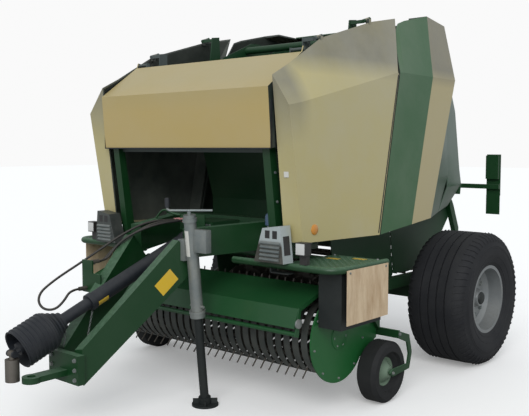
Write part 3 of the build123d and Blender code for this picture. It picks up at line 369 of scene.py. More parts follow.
def striped(tree):
    """Tailgate colours: a green stripe behind the seam, a cream band, then green again."""
    def past(low_y, crease_y, top_y):
        line = {"Low Z": 1.15, "Crease Z": 2.29, "Top Z": 2.765, "Low Y": low_y + AXLE.y,
                "Crease Y": crease_y + AXLE.y, "Top Y": top_y + AXLE.y}
        group = node(tree, "ShaderNodeGroup", line, node_tree=LINE_DISTANCE)
        return ramp(tree, group.outputs["Distance"], -PAINT_EDGE, PAINT_EDGE)

    # The cream band gets the same painted shade of grey above the crease.
    cream = greyed_by_painted_shade((0.44, 0.38, 0.21))(tree)
    colour = mix_colours(tree, past(-0.667, -0.375, -0.235), (0.040, 0.118, 0.046, 1), cream)
    return mix_colours(tree, past(-0.385, -0.015, 0.06), colour, (0.022, 0.075, 0.035, 1))


def outer_face(tree, axis):
    """1 on faces that look out of the machine; axis 0 is a side cover, 1 the front cover.

    A side cover's inner faces look towards the middle, to the rear, or to the front from behind its front
    edge."""
    looks = facing_parts(tree)
    if axis:
        across = ramp(tree, maths(tree, "ABSOLUTE", looks["X"]), 0.5, 0.55, 1.0, 0.0)
        return times(tree, ramp(tree, looks["Y"], 0.12, 0.10, 0.0, 1.0), across)
    parts = parts_of(tree, here(tree))
    outward = ramp(tree, times(tree, looks["X"], maths(tree, "SIGN", parts["X"])), -0.32, -0.28)
    not_rear = ramp(tree, looks["Y"], 0.70, 0.75, 1.0, 0.0)
    not_flange = maths(tree, "MAXIMUM", ramp(tree, looks["Y"], -0.75, -0.70),
                       ramp(tree, parts["Y"], HOOD_EDGE, HOOD_EDGE + 0.02, 1.0, 0.0))
    return times(tree, outward, times(tree, not_rear, not_flange))


def two_sided(outer, inner, axis):
    """Paint outside, and a dark colour on the inside faces: painted shade inside the moulding."""
    def colour(tree):
        return mix_colours(tree, outer_face(tree, axis), (*inner, 1), paint_of(tree, outer))
    return colour


def cover_colours_painted_light(tree):
    """The front cover's cream, a little paler where it slopes back: painted light, for how the light falls on
    the sloping top and on the upright front.
    """
    slope = ramp(tree, parts_of(tree, here(tree))["Z"], 1.98, 2.20)
    return mix_colours(tree, slope, (0.485, 0.372, 0.148, 1), (0.430, 0.352, 0.163, 1))


def chock_colours_and_shade(tree):
    """Bright sheet on the left chock above its toe, darker on the toe's front faces; the right chock is
    painted dark all over: painted shade.
    """
    parts = parts_of(tree, here(tree))
    front = ramp(tree, facing_parts(tree)["Y"], -0.5, -0.6)
    toe = times(tree, ramp(tree, parts["Z"], 1.155, 1.120, 0.0, 1.0), front)
    bright = mix_colours(tree, toe, (0.47, 0.53, 0.54, 1), (0.060, 0.058, 0.050, 1))
    return mix_colours(tree, ramp(tree, parts["X"], -0.1, 0.1), (0.050, 0.060, 0.058, 1), bright)


def board_colours(tree):
    """Faded board with brown stains that run down it."""
    stretched = node(tree, "ShaderNodeMapping", {"Vector": here(tree), "Scale": (6.0, 14.0, 3.0)})
    stain = ramp(tree, noise(tree, stretched.outputs["Vector"], 1.0, 6.0, 0.7), 0.40, 0.70)
    return mix_colours(tree, stain, (0.68, 0.53, 0.35, 1), (0.46, 0.31, 0.175, 1))


def wheel_colours(centre, edge, rubber, metal):
    """Rubber outside a radius from the axle, metal inside it."""
    def colour(tree):
        parts = parts_of(tree, here(tree))
        y = maths(tree, "SUBTRACT", parts["Y"], centre.y)
        z = maths(tree, "SUBTRACT", parts["Z"], centre.z)
        radius = maths(tree, "SQRT", maths(tree, "ADD", times(tree, y, y), times(tree, z, z)))
        outside = ramp(tree, radius, edge - PAINT_EDGE, edge + PAINT_EDGE)
        return mix_colours(tree, outside, (*metal, 1), (*rubber, 1))
    return colour


gauge_low, gauge_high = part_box("gauge_wheel_left")
GAUGE, GAUGE_RIM = (gauge_low + gauge_high) / 2, 0.098
print("gauge wheels turn about", [round(value, 3) for value in GAUGE])

# %% [markdown]
# The table of finishes. A row says the colour, the roughness and whatever differs from the usual: how
# metallic, how dusty and how faded the surface is, the size of its blotches, and the strength and fineness
# of its relief.

# %% Finishes
def finish(name, colour, roughness, metallic=0.0, dust=0.35, fade=0.1, scale=3.0, bump=0.15, grain=40.0,
           dust_and_highlight_colour=(0.27, 0.235, 0.17), coat=0.0, lying=None, low=0.55):
    """A weathered finish. What lies on faces that look up is dust, but on the green paints a painted
    highlight; it goes in step with the other dust unless lying is given.
    """
    material = bpy.data.materials.new(name)
    material.use_nodes = True
    tree = material.node_tree
    worn = node(tree, "ShaderNodeGroup", {
        "Base": paint_of(tree, colour), "Dust": (*dust_and_highlight_colour, 1), "Dust Amount": dust,
        "Lying": 0.8 * dust if lying is None else lying, "Low": low, "Fade": fade, "Scale": scale,
        "Roughness": roughness}, node_tree=WEATHERING).outputs
    height = noise(tree, here(tree), grain, 3.0, 0.5)
    relief = node(tree, "ShaderNodeBump", {"Strength": bump, "Distance": 0.002, "Height": height})
    fill(tree, tree.nodes["Principled BSDF"], {
        "Base Color": worn["Color"], "Roughness": worn["Roughness"], "Metallic": metallic,
        "Coat Weight": coat, "Normal": relief.outputs["Normal"]})
    return material


PAINTED = dict(dust=0.03, fade=0.01, coat=0.06)
MOULDED = dict(bump=0.08, grain=90)
GREEN_TOP_HIGHLIGHT, RUBBER_DUST = (0.15, 0.27, 0.17), (0.10, 0.095, 0.085)
# The dark colour of the mouldings' inside faces: painted shade.
INSIDE_SHADE = (0.045, 0.058, 0.050)
RECIPES = {
    # On green paint, the pale green laid on faces that look up is a painted highlight, not dust.
    "green paint": ((0.004, 0.043, 0.010), 0.42, dict(PAINTED, dust_and_highlight_colour=GREEN_TOP_HIGHLIGHT, lying=0.55, low=0.0)),
    # Guard green is a brighter copy of the machine green: painted light on the wind guard's front band.
    "guard green": ((0.006, 0.064, 0.016), 0.42,
                    dict(PAINTED, dust_and_highlight_colour=(0.06, 0.13, 0.07), lying=0.05, low=0.0)),
    # Side green is a brighter copy of the machine green: painted light on the pick-up's sides, with a pale
    # green painted highlight on faces that look up.
    "side green": ((0.009, 0.108, 0.024), 0.42, dict(PAINTED, dust_and_highlight_colour=GREEN_TOP_HIGHLIGHT, lying=0.3, low=0.2)),
    "shade green": ((0.006, 0.044, 0.014), 0.5, dict(dust=0.06, fade=0.01)),
    "cream moulding": (two_sided(greyed_by_painted_shade((0.49, 0.43, 0.205)), INSIDE_SHADE, 0), 0.38,
                       dict(MOULDED, dust=0.10, fade=0.25, scale=1.2, dust_and_highlight_colour=(0.33, 0.31, 0.24))),
    # The front cover's inside faces are painted near-black: painted shade.
    "cream cover": (two_sided(cover_colours_painted_light, (0.03, 0.042, 0.035), 1), 0.36,
                    dict(MOULDED, dust=0.10, fade=0.10, scale=1.4, dust_and_highlight_colour=(0.36, 0.32, 0.2))),
    "striped moulding": (two_sided(striped, INSIDE_SHADE, 0), 0.36,
                         dict(MOULDED, dust=0.12, fade=0.08, scale=1.2, dust_and_highlight_colour=(0.3, 0.3, 0.24))),
    "green moulding": ((0.020, 0.078, 0.032), 0.42, dict(MOULDED, dust=0.12, fade=0.03, scale=1.5)),
    "worn steel": ((0.16, 0.15, 0.135), 0.5, dict(metallic=0.8, fade=0.15, dust_and_highlight_colour=(0.11, 0.075, 0.045))),
    "band steel": ((0.036, 0.046, 0.044), 0.42,
                   dict(metallic=0.3, dust=0.2, fade=0.12, dust_and_highlight_colour=(0.12, 0.1, 0.07))),
    "zinc": ((0.205, 0.240, 0.245), 0.45, dict(metallic=0.55, dust=0.25, fade=0.35, scale=7, bump=0.12)),
    "dark steel": ((0.008, 0.012, 0.012), 0.55,
                   dict(metallic=0.1, dust=0.04, fade=0.02, low=0.2, dust_and_highlight_colour=(0.10, 0.10, 0.09))),
    # The net box is painted dark grey: painted shade under the front cover.
    "net box steel": ((0.070, 0.090, 0.086), 0.6, dict(dust=0.05, fade=0.02)),
    "chock steel": (chock_colours_and_shade, 0.45, dict(metallic=0.35, dust=0.1, scale=7, bump=0.12)),
    "chrome": ((0.6, 0.6, 0.6), 0.18, dict(metallic=1.0, dust=0.1, fade=0.0, bump=0.02)),
    "tyre rubber": ((0.006, 0.007, 0.010), 0.75,
                    dict(dust=0.05, fade=0.015, scale=4, bump=0.35, grain=120, dust_and_highlight_colour=RUBBER_DUST,
                         lying=0.06, low=0.1)),
    "rim silver": ((0.25, 0.27, 0.28), 0.42,
                   dict(metallic=0.4, dust=0.2, fade=0.15, scale=5, dust_and_highlight_colour=(0.2, 0.175, 0.13))),
    "small wheel": (wheel_colours(GAUGE, GAUGE_RIM, (0.005, 0.006, 0.007), (0.14, 0.205, 0.145)), 0.75,
                    dict(dust=0.04, fade=0.01, scale=6, bump=0.3, grain=150, dust_and_highlight_colour=RUBBER_DUST,
                         lying=0.05, low=0.1)),
    "guard plastic": ((0.007, 0.010, 0.016), 0.55,
                      dict(dust=0.07, fade=0.03, scale=6, dust_and_highlight_colour=(0.12, 0.12, 0.11), low=0.3)),
    "hose rubber": ((0.012, 0.012, 0.013), 0.55, dict(dust=0.2, fade=0.0, scale=9)),
    "faded board": (board_colours, 0.6, dict(dust=0.1, fade=0.08, bump=0.05)),
    "lamp housing": ((0.02, 0.02, 0.022), 0.4, dict(dust=0.2, fade=0.0)),
    "clear lens": ((0.62, 0.63, 0.62), 0.15, dict(dust=0.15, fade=0.0, coat=0.5)),
    "red lens": ((0.32, 0.02, 0.015), 0.2, dict(dust=0.2, fade=0.0, coat=0.5)),
    "amber lens": ((0.62, 0.25, 0.03), 0.2, dict(dust=0.12, fade=0.0, coat=0.5)),
    "yellow film": ((0.72, 0.47, 0.02), 0.45, dict(dust=0.18, bump=0.02)),
    "white film": ((0.66, 0.66, 0.62), 0.45, dict(dust=0.2, bump=0.02)),
    "blue cap": ((0.045, 0.085, 0.15), 0.4, dict(dust=0.1, fade=0.0)),
    "pink sleeve": ((0.62, 0.27, 0.27), 0.6, dict(dust=0.2, scale=9)),
}
FINISHES = {name: finish(name, colour, roughness, **rest)
            for name, (colour, roughness, rest) in RECIPES.items()}
CLOTHES = {
    "green paint": "drawbar_arms hitch_head gauge_arms platform_left platform_right front_posts hose_holder "
                   "tailgate_braces rear_lamps cylinder_barrel_left cylinder_barrel_right",
    "guard green": "wind_guard",
    "side green": "pickup_sides",
    "shade green": "axle_beam chamber_sides frame_members top_frame rotor_housing tailgate_sides gearbox "
                   "pickup_frame",
    "cream moulding": "side_hood_left side_hood_right",
    "cream cover": "front_cover",
    "striped moulding": "tailgate_cover_left tailgate_cover_right",
    "green moulding": "tailgate_rear_cover",
    "worn steel": "front_conveyor tailgate_conveyor feed_rotor tine_reel pto_yoke hose_couplers",
    "band steel": "pickup_bands",
    "zinc": "jack_tube",
    "chock steel": "wheel_chocks",
    "dark steel": "jack_leg side_casing",
    "net box steel": "net_box",
    "chrome": "cylinder_rod_left cylinder_rod_right",
    "tyre rubber": "tyre_left tyre_right",
    "rim silver": "rim_left rim_right",
    "small wheel": "gauge_wheel_left gauge_wheel_right",
    "guard plastic": "pto_rear_tube pto_front_tube",
    "faded board": "warning_boards",
    "lamp housing": "front_lamps",
    "hose rubber": "hose_1 hose_2 hose_3",
}
for name, nodes in CLOTHES.items():
    for cad_node in nodes.split():
        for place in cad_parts[cad_node].material_slots:
            place.material = FINISHES[name]
for hose in hoses:
    hose.data.materials.append(FINISHES["hose rubber"])
dressed = set(" ".join(CLOTHES.values()).split())
print("dressed", len(dressed), "bare", sorted(set(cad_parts) - dressed))

# %% [markdown]
# Helpers for made pieces. A piece is drawn in a bmesh, an editable mesh in memory, straight in its place,
# so that its object can stay at the origin. `piece` turns it into an object that rides on a body of the
# model; `turned` and `boxes` make the whole of a piece that is one lathe shape or a few boxes.

# %% Helpers for pieces
def mesh_of(name, bm):
    """A mesh from a drawn bmesh, with its faces turned outwards."""
    mesh = bpy.data.meshes.new(name)
    bmesh.ops.recalc_face_normals(bm, faces=bm.faces)
    bm.to_mesh(mesh)
    bm.free()
    return mesh


def piece(name, mesh, material, body, slot_name, smooth=30):
    """An object at the origin from a finished bmesh or mesh, riding on a body."""
    if isinstance(mesh, bmesh.types.BMesh):
        mesh = mesh_of(name, mesh)
    mesh.name = name
    mesh.materials.clear()
    mesh.materials.append(FINISHES[material])
    if smooth:
        mesh.shade_smooth()
        mesh.set_sharp_from_angle(angle=math.radians(smooth))
    made = new_object(name, mesh)
    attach(made, body)
    print(name, "faces", len(mesh.polygons))
    return made


def facing(direction):
    """A rotation whose own Z looks along a direction."""
    return Vector(direction).to_track_quat("Z", "Y").to_matrix()


def upright(normal, up=UP):
    """A rotation whose own Z looks along a face's normal and whose own Y runs up it."""
    normal = Vector(normal).normalized()
    across = Vector(up).cross(normal).normalized()
    return Matrix((across, normal.cross(across), normal)).transposed()


def add_box(bm, centre, size, turn=None, bevel=0.0):
    """A box with softened edges; turn is a rotation about its own middle."""
    matrix = Matrix.Translation(centre) @ (turn or Matrix()).to_4x4() @ Matrix.Diagonal((*size, 1))
    made = bmesh.ops.create_cube(bm, size=1, matrix=matrix)
    if bevel:
        edges = {edge for vertex in made["verts"] for edge in vertex.link_edges}
        bmesh.ops.bevel(bm, geom=list(edges), offset=bevel, segments=2, affect="EDGES", profile=0.7)


def add_rod(bm, start, end, radius, sides=16, tip=None):
    """A closed rod or cone between two points."""
    start, end = Vector(start), Vector(end)
    matrix = Matrix.Translation((start + end) / 2) @ facing(end - start).to_4x4()
    bmesh.ops.create_cone(bm, cap_ends=True, segments=sides, radius1=radius,
                          radius2=radius if tip is None else tip, depth=(end - start).length, matrix=matrix)


def skin(bm, loops, closed=False):
    """Faces between neighbouring loops of vertices; a closed skin joins the last to the first, any other gets
    a flat cap at each end."""
    for near, far in zip(loops, loops[1:] + loops[:1] if closed else loops[1:]):
        for i in range(len(near)):
            j = (i + 1) % len(near)
            bm.faces.new((near[i], near[j], far[j], far[i]))
    if not closed:
        bm.faces.new(loops[0][::-1])
        bm.faces.new(loops[-1])


def loft(bm, sections):
    """A closed solid through sections with the same number of points."""
    skin(bm, [[bm.verts.new(point) for point in section] for section in sections])


def on_circle(count, start=0.0):
    """Angles spaced evenly round a circle."""
    return [start + 2 * math.pi * i / count for i in range(count)]


def add_turned(bm, profile, origin, axis, segments=48, loop=False):
    """A shape turned on a lathe: profile is (distance along the axis, radius) from an origin.

    A loop joins its last ring to its first, as on a tyre."""
    turn = facing(axis)
    skin(bm, [[bm.verts.new(Vector(origin) + turn @ Vector((r * math.cos(a), r * math.sin(a), along)))
               for a in on_circle(segments)] for along, r in profile], loop)


def add_sleeve(bm, low, high, radius, inner, origin, axis, segments=40):
    """A short tube between two distances along an axis."""
    add_turned(bm, [(low, inner), (low, radius), (high, radius), (high, inner)], origin, axis, segments, True)


def turned(name, profile, origin, axis, segments, *looks):
    """A piece of one turned shape; looks are the material, body, slot and smoothing of a piece, and the slot
    is not used.
    """
    bm = bmesh.new()
    add_turned(bm, profile, origin, axis, segments)
    return piece(name, bm, *looks)


def boxes(name, rows, *looks):
    """A piece of boxes; each row is what add_box takes."""
    bm = bmesh.new()
    for row in rows:
        add_box(bm, *row)
    return piece(name, bm, *looks)


def both_sides(centre, size, turn=None, bevel=0.0):
    """The rows of a box on the left and of its mirror image; centre is from the axle's middle."""
    x, y, z = centre
    flip = Matrix.Diagonal((-1, 1, 1))
    return [(at(x, y, z), size, turn, bevel), (at(-x, y, z), size, turn and flip @ turn @ flip, bevel)]


# %% [markdown]
# Three Geometry Nodes trees do all the repeating: one turns copies of a shape round a wheel's axle, one
# puts a copy on each point and turns it to face along that point's own direction, and one fills a plate
# with rows. Each ends in Realize Instances and Set Material, so the copies become plain faces.

# %% Trees that repeat a shape
def repeat_tree(name, extra):
    """A tree with a host geometry, the shape to copy and its material, and what it is given."""
    tree = bpy.data.node_groups.new(name, "GeometryNodeTree")
    sockets(tree, [("Geometry", "Geometry"), ("Shape", "Object"), *extra, ("Material", "Material")])
    sockets(tree, [("Geometry", "Geometry")], "OUTPUT")
    return tree, node(tree, "NodeGroupInput").outputs


def index_of(tree):
    """The number of each copy."""
    return node(tree, "GeometryNodeInputIndex").outputs["Index"]


def turn_about(tree, axis, angle):
    """A rotation about one axis."""
    euler = node(tree, "ShaderNodeCombineXYZ", {axis: angle}).outputs["Vector"]
    return node(tree, "FunctionNodeEulerToRotation", {"Euler": euler}).outputs["Rotation"]


def end_tree(tree, given, points, turn, scale=None, centre=None):
    """Copies of the shape on points, moved to a centre, then Realize Instances and Set Material."""
    shape = node(tree, "GeometryNodeObjectInfo", {"Object": given["Shape"]}).outputs["Geometry"]
    inputs = {"Points": points, "Instance": shape, "Rotation": turn}
    if scale:
        inputs["Scale"] = scale
    made = node(tree, "GeometryNodeInstanceOnPoints", inputs)
    if centre:
        made = node(tree, "GeometryNodeTransform", {"Geometry": made.outputs[0], "Translation": centre})
    made = node(tree, "GeometryNodeRealizeInstances", {"Geometry": made.outputs[0]})
    made = node(tree, "GeometryNodeSetMaterial", {"Geometry": made.outputs[0], "Material": given["Material"]})
    node(tree, "NodeGroupOutput", {"Geometry": made.outputs[0]})
    return tree


def make_round_axle():
    """Copies turned evenly round a wheel's axle."""
    tree, given = repeat_tree("round_the_axle", [("Count", "Int"), ("Centre", "Vector")])
    points = node(tree, "GeometryNodePoints", {"Count": given["Count"]}).outputs["Points"]
    angle = maths(tree, "DIVIDE", times(tree, index_of(tree), 2 * math.pi), given["Count"])
    return end_tree(tree, given, points, turn_about(tree, "X", angle), centre=given["Centre"])


def make_on_points():
    """A copy on each point, facing along the point's own direction."""
    tree, given = repeat_tree("on_points", [("Size", "Float")])
    look = node(tree, "GeometryNodeInputNamedAttribute", {"Name": "look"}, data_type="FLOAT_VECTOR")
    turn = node(tree, "FunctionNodeAlignRotationToVector", {"Vector": look.outputs["Attribute"]}, axis="Z")
    return end_tree(tree, given, given["Geometry"], turn.outputs["Rotation"], scale=given["Size"])


def make_in_rows():
    """Copies in rows on a flat plate, every other one turned a quarter."""
    tree, given = repeat_tree("in_rows", [("Size X", "Float"), ("Size Y", "Float"), ("Rows X", "Int"),
                                          ("Rows Y", "Int"), ("Centre", "Vector")])
    grid = node(tree, "GeometryNodeMeshGrid",
                {"Size X": given["Size X"], "Size Y": given["Size Y"], "Vertices X": given["Rows X"],
                 "Vertices Y": given["Rows Y"]}).outputs["Mesh"]
    quarter = times(tree, maths(tree, "MODULO", index_of(tree), 2.0), math.pi / 2)
    angle = maths(tree, "ADD", quarter, math.pi / 4)
    return end_tree(tree, given, grid, turn_about(tree, "Z", angle), centre=given["Centre"])


ROUND_AXLE = make_round_axle()
ON_POINTS = make_on_points()
IN_ROWS = make_in_rows()


def host_of_points(places):
    """An object of loose points, each with the direction it looks along; places are (point, direction)."""
    mesh = bpy.data.meshes.new("host")
    mesh.from_pydata([tuple(point) for point, _ in places], [], [])
    look = mesh.attributes.new("look", "FLOAT_VECTOR", "POINT")
    for index, (_, direction) in enumerate(places):
        look.data[index].vector = direction
    return new_object("host", mesh)


def copies(name, tree, bm, values, places, material, *rest):
    """A piece of copies of one drawn shape; the tree's result is kept as a plain mesh.

    places are for the tree that copies onto points; the others make their own points."""
    shape = new_object("shape", mesh_of("shape", bm))
    host = host_of_points(places)
    modifier = host.modifiers.new("nodes", "NODES")
    modifier.node_group = tree
    values = {"Shape": shape, "Material": FINISHES[material], **values}
    for item in tree.interface.items_tree:
        if item.in_out == "INPUT" and item.name in values:
            modifier[item.identifier] = values[item.name]
    mesh = baked(host)
    bpy.data.objects.remove(host)
    bpy.data.objects.remove(shape)
    return piece(name, mesh, material, *rest)


def bolts(name, places, body, size=1.0):
    """A hexagon head on its washer at each (point from the axle's middle, direction)."""
    across, height = 0.019, 0.010
    bm = bmesh.new()
    add_rod(bm, (0, 0, -0.002), (0, 0, 0.0025), across * 0.62, 14)
    add_rod(bm, (0, 0, 0.002), (0, 0, height), across * 0.56, 6, across * 0.52)
    copies(name, ON_POINTS, bm, {"Size": size}, [(at(*point), direction) for point, direction in places],
           "zinc", body, "galvanised")


def both(places):
    """The same (point, direction) places on the left and, mirrored, on the right."""
    return places + [((-x, y, z), (-u, v, w)) for (x, y, z), (u, v, w) in places]


print("trees", [tree.name for tree in (ROUND_AXLE, ON_POINTS, IN_ROWS)])

# %% [markdown]
# The tyres. The CAD tyre is a smooth ring, so a piece takes its place: a turned carcass with four grooves
# round it, as an implement tyre has. Small wedges along each groove give the ribs their saw-tooth edges,
# and a ring of slanting bars runs down over each shoulder. The carcass is one lathe shape; the tree repeats
# the wedges and bars.

# %% Tyres
TYRE_R = (tyre_high.z - tyre_low.z) / 2
TREAD_FLOOR = TYRE_R - 0.013
GROOVES = (0.1030, 0.0340)
CARCASS = [(0.203, 0.262), (0.216, 0.272), (0.238, 0.320), (0.249, 0.372), (0.250, 0.404), (0.244, 0.436),
           (0.238, 0.448), (0.236, 0.470), (0.218, 0.497), (0.180, TYRE_R - 0.006)]
for middle in GROOVES:
    CARCASS += [(middle + 0.0065, TYRE_R - 0.001), (middle + 0.0035, TREAD_FLOOR),
                (middle - 0.0035, TREAD_FLOOR), (middle - 0.0065, TYRE_R - 0.0005)]
CARCASS += [(-across, radius) for across, radius in reversed(CARCASS)]
WALL_RINGS = (0.300, 0.345, 0.412, 0.425)
BAR_COUNT, TOOTH_COUNT, TYRE_STEPS = 60, 72, 96


def shoulder_bar(side):
    """One slanting bar that runs from the tread down over the shoulder, at the top of the wheel."""
    bm = bmesh.new()
    section = ((0, -0.006), (0.016, -0.006), (0.014, 0.0055), (0.002, 0.0055))
    spine = ((0.172, 0.0, 0.5235), (0.218, 0.012, 0.4985), (0.240, 0.019, 0.4680))
    loft(bm, [[(side * x, y + dy, radius + dz) for dy, dz in section] for x, y, radius in spine])
    return bm


def groove_teeth(side):
    """A small wedge on each flank of each groove, which gives the ribs their saw-tooth edges."""
    bm = bmesh.new()
    for middle in GROOVES:
        for flank, start in ((1, 0.0), (-1, 0.022)):
            edge, tip = side * (middle + flank * 0.0070), side * (middle + flank * 0.0010)
            loft(bm, [[(edge, start, radius), (edge, start + 0.020, radius), (tip, start + 0.004, radius),
                       (tip, start, radius)] for radius in (TREAD_FLOOR - 0.002, TYRE_R - 0.0015)])
    return bm


def wall_at(radius):
    """How far from the tyre's middle its side wall stands at a radius."""
    return next(x + (far_x - x) * (radius - low) / (high - low)
                for (x, low), (far_x, high) in zip(CARCASS, CARCASS[1:]) if low <= radius <= high)


def tyre(side_name, sign):
    """One dressed tyre."""
    centre = Vector((sign * AXLE.x, AXLE.y, AXLE.z))
    looks = ("tyre rubber", "wheel_" + side_name, "tyre")
    bm = bmesh.new()
    add_turned(bm, CARCASS, centre, LEFT, TYRE_STEPS, loop=True)
    for radius in WALL_RINGS:
        for side in (-1, 1):
            inner, outer = side * (wall_at(radius) - 0.002), side * (wall_at(radius) + 0.002)
            add_turned(bm, [(inner, radius - 0.004), (outer, radius - 0.002), (outer, radius + 0.002),
                            (inner, radius + 0.004)], centre, LEFT, TYRE_STEPS, loop=True)
    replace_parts(piece("tyre_carcass_" + side_name, bm, *looks, 40), "tyre_" + side_name)
    for name, drawn, count in (("bars_outer", shoulder_bar(1), BAR_COUNT),
                               ("bars_inner", shoulder_bar(-1), BAR_COUNT),
                               ("teeth_outer", groove_teeth(1), TOOTH_COUNT),
                               ("teeth_inner", groove_teeth(-1), TOOTH_COUNT)):
        copies(f"tread_{name}_{side_name}", ROUND_AXLE, drawn, {"Count": count, "Centre": centre}, (),
               *looks, 25)


for side_name, sign in SIDES:
    tyre(side_name, sign)

# %% [markdown]
# Each wheel is held by eight nuts on a circle, and a domed cap closes its hub.

# %% Wheel nuts and hub caps
NUT_CIRCLE = 0.1375
HUB_CAP = [(0.1495, 0.050), (0.158, 0.048), (0.164, 0.040), (0.167, 0.024), (0.168, 0.001)]
for side_name, sign in SIDES:
    body = "wheel_" + side_name
    nuts = [((sign * (AXLE.x + 0.0965), NUT_CIRCLE * math.cos(a), AXLE.z + NUT_CIRCLE * math.sin(a)),
             (sign, 0, 0)) for a in on_circle(8)]
    bolts("wheel_nuts_" + side_name, nuts, body, 1.5)
    turned("hub_cap_" + side_name, HUB_CAP, Vector((sign * AXLE.x, AXLE.y, AXLE.z)), (sign, 0, 0), 32,
           "dark steel", body, "dark_steel", 40)

# %% [markdown]
# The drive shaft's guard ends in a ribbed rubber bell. It is one turned shape whose profile goes in and out
# ten times. Its axis runs from the joint at the gearbox down to the joint in front of the bell.

# %% Ribbed bell and the shaft's rings
FALL, YAW = math.radians(23.4), math.radians(4)
SHAFT_ROOT = at(0, -2.05, 1.1)
SHAFT_AXIS = Vector((-math.sin(YAW) * math.cos(FALL), -math.cos(YAW) * math.cos(FALL), -math.sin(FALL)))
RIB_COUNT, RIB_STEP = 10, 0.029


def bell_profile():
    """A wavy cone from the tube to the mouth, with a rolled lip."""
    profile = [(1.085, 0.051), (1.087, 0.058), (1.108, 0.060)]
    for rib in range(RIB_COUNT):
        start = 1.108 + rib * RIB_STEP
        radius = 0.064 + 0.057 * min(1, (rib + 0.4) / 3.2)
        profile += [(start + 0.003, radius - 0.004), (start + 0.009, radius + 0.003),
                    (start + 0.018, radius + 0.004), (start + 0.024, radius - 0.004)]
    return profile + [(1.402, 0.119), (1.408, 0.123), (1.412, 0.119), (1.408, 0.112), (1.395, 0.1095),
                      (1.194, 0.1095), (1.130, 0.056), (1.085, 0.0505)]


bm = bmesh.new()
add_turned(bm, bell_profile(), SHAFT_ROOT, SHAFT_AXIS, 56, loop=True)
for along in (0.02, 0.86):
    add_turned(bm, [(along - 0.02, 0.0502), (along - 0.018, 0.056), (along + 0.018, 0.056),
                    (along + 0.02, 0.0502)], SHAFT_ROOT, SHAFT_AXIS, 40, loop=True)
piece("bell_ribs", bm, "guard plastic", "shaft_front", "guard_plastic", 35)

# %% [markdown]
# Lamps. The CAD housings get lenses that stand a few millimetres proud: clear ones at the front, red and
# amber ones at the rear, and amber reflectors low on the side hoods.

# %% Lenses and reflectors
BAR_Y, BAR_Z = -2.050, 0.990
LAMP_Z = BAR_Z + 0.0225 + 0.1003
LENSES = {
    "front_lenses": ("clear lens", "frame", (1.0475, BAR_Y - 0.0460, LAMP_Z), (0.066, 0.008, 0.068)),
    "rear_lenses_red": ("red lens", "tailgate", (0.915, 0.8815, 1.505), (0.100, 0.009, 0.090)),
    "rear_lenses_amber": ("amber lens", "tailgate", (0.915, 0.8815, 1.605), (0.100, 0.009, 0.080)),
    "rear_reflectors": ("red lens", "tailgate", (0.915, 0.8830, 1.215), (0.070, 0.004, 0.070)),
}
for name, (material, body, centre, size) in LENSES.items():
    boxes(name, both_sides(centre, size, bevel=0.003), material, body, "lamp_plastic")
for side_name, sign in SIDES:
    turned("hood_reflector_" + side_name, [(0.0, 0.034), (0.005, 0.033), (0.008, 0.028), (0.010, 0.006)],
           at(sign * 0.9853, -1.872, 1.212), (sign, 0, 0), 32, "amber lens", "hood_" + side_name,
           "lamp_plastic")

# %% [markdown]
# Bolt heads, from one table. Each row gives a body, a size and the places on the machine's left with the
# direction that the head looks along; `both` mirrors them to the right.

# %% Bolt heads
def row(start, end, count, direction):
    """Bolts spaced evenly on a straight line."""
    start, end = Vector(start), Vector(end)
    return [(tuple(start.lerp(end, i / (count - 1))), direction) for i in range(count)]


def ring(y, z, radius, count, x, turn=0.0):
    """Bolts on a circle that looks out to the left."""
    return [((x, y + radius * math.cos(a), z + radius * math.sin(a)), LEFT) for a in on_circle(count, turn)]


BOLTS = {
    "hitch_bolts": ("frame", 1.2, row((0.120, -3.090, 0.340), (0.120, -3.090, 0.460), 3, FRONT)),
    "foot_bolts": ("frame", 1.0, [((x, y, 1.080), UP) for x in (0.700, 0.755) for y in (-1.960, -1.610)]),
    "beam_bolts": ("frame", 1.1, row((0.640, -1.650, 1.070), (0.640, -1.650, 1.200), 3, FRONT)),
    "gearbox_bolts": ("frame", 0.8,
                      [((x, -1.930, z), FRONT) for x in (0.105, 0.075) for z in (1.015, 1.185)]),
    "platform_bolts": ("frame", 0.8,
                       [((x, y, 1.000), UP) for x in (0.880, 1.225) for y in (-1.985, -1.505)]),
    "board_bolts": ("frame", 0.6, [((1.3038, y, 0.972), LEFT) for y in (-1.930, -1.530)]),
    "bearing_bolts": ("pickup", 0.9, ring(-1.700, 0.500, 0.060, 6, 1.062)),
    "side_bolts": ("pickup", 0.7, ring(-1.700, 0.500, 0.272, 9, 1.062, 1.2)),
    "arm_bolts": ("pickup", 1.0, [((1.243, -1.330, 0.212), LEFT), ((1.243, -1.250, 0.465), LEFT)]),
    "post_bolts": ("frame", 0.8, row((0.780, -2.040, 1.760), (0.780, -1.975, 1.200), 4, LEFT)),
    "gate_bolts": ("tailgate", 0.8, [((x, 0.7335, 0.900), REAR) for x in (0.610, 0.645)]),
}
for name, (body, size, places) in BOLTS.items():
    bolts(name, both(places), body, size)

# %% [markdown]
# Blank films lie flat on the left drawbar arm, the left hood and the platforms. Nothing is written on them.
# Each is a thin plate turned to match its face.

# %% Flat films
FILM_THICK, ARM_HALF = 0.0008, 0.038
ARM_LINE = Vector((0.250 - 0.081, 3.080 - 2.300, 0)).normalized()
ARM_SIDE = Vector((ARM_LINE.y, -ARM_LINE.x, 0))
ARM_FALL = Vector((ARM_LINE.x * 0.752, ARM_LINE.y * 0.752, 0.660))
ARM_FILM_Y = -2.463
ARM_FILM_X = 0.081 + (ARM_FILM_Y + 3.080) * ARM_LINE.x / ARM_LINE.y


def film(name, centre, turn, size, *looks):
    """One thin blank plate."""
    boxes(name, [(centre, (*size, FILM_THICK), turn)], *looks, 0)


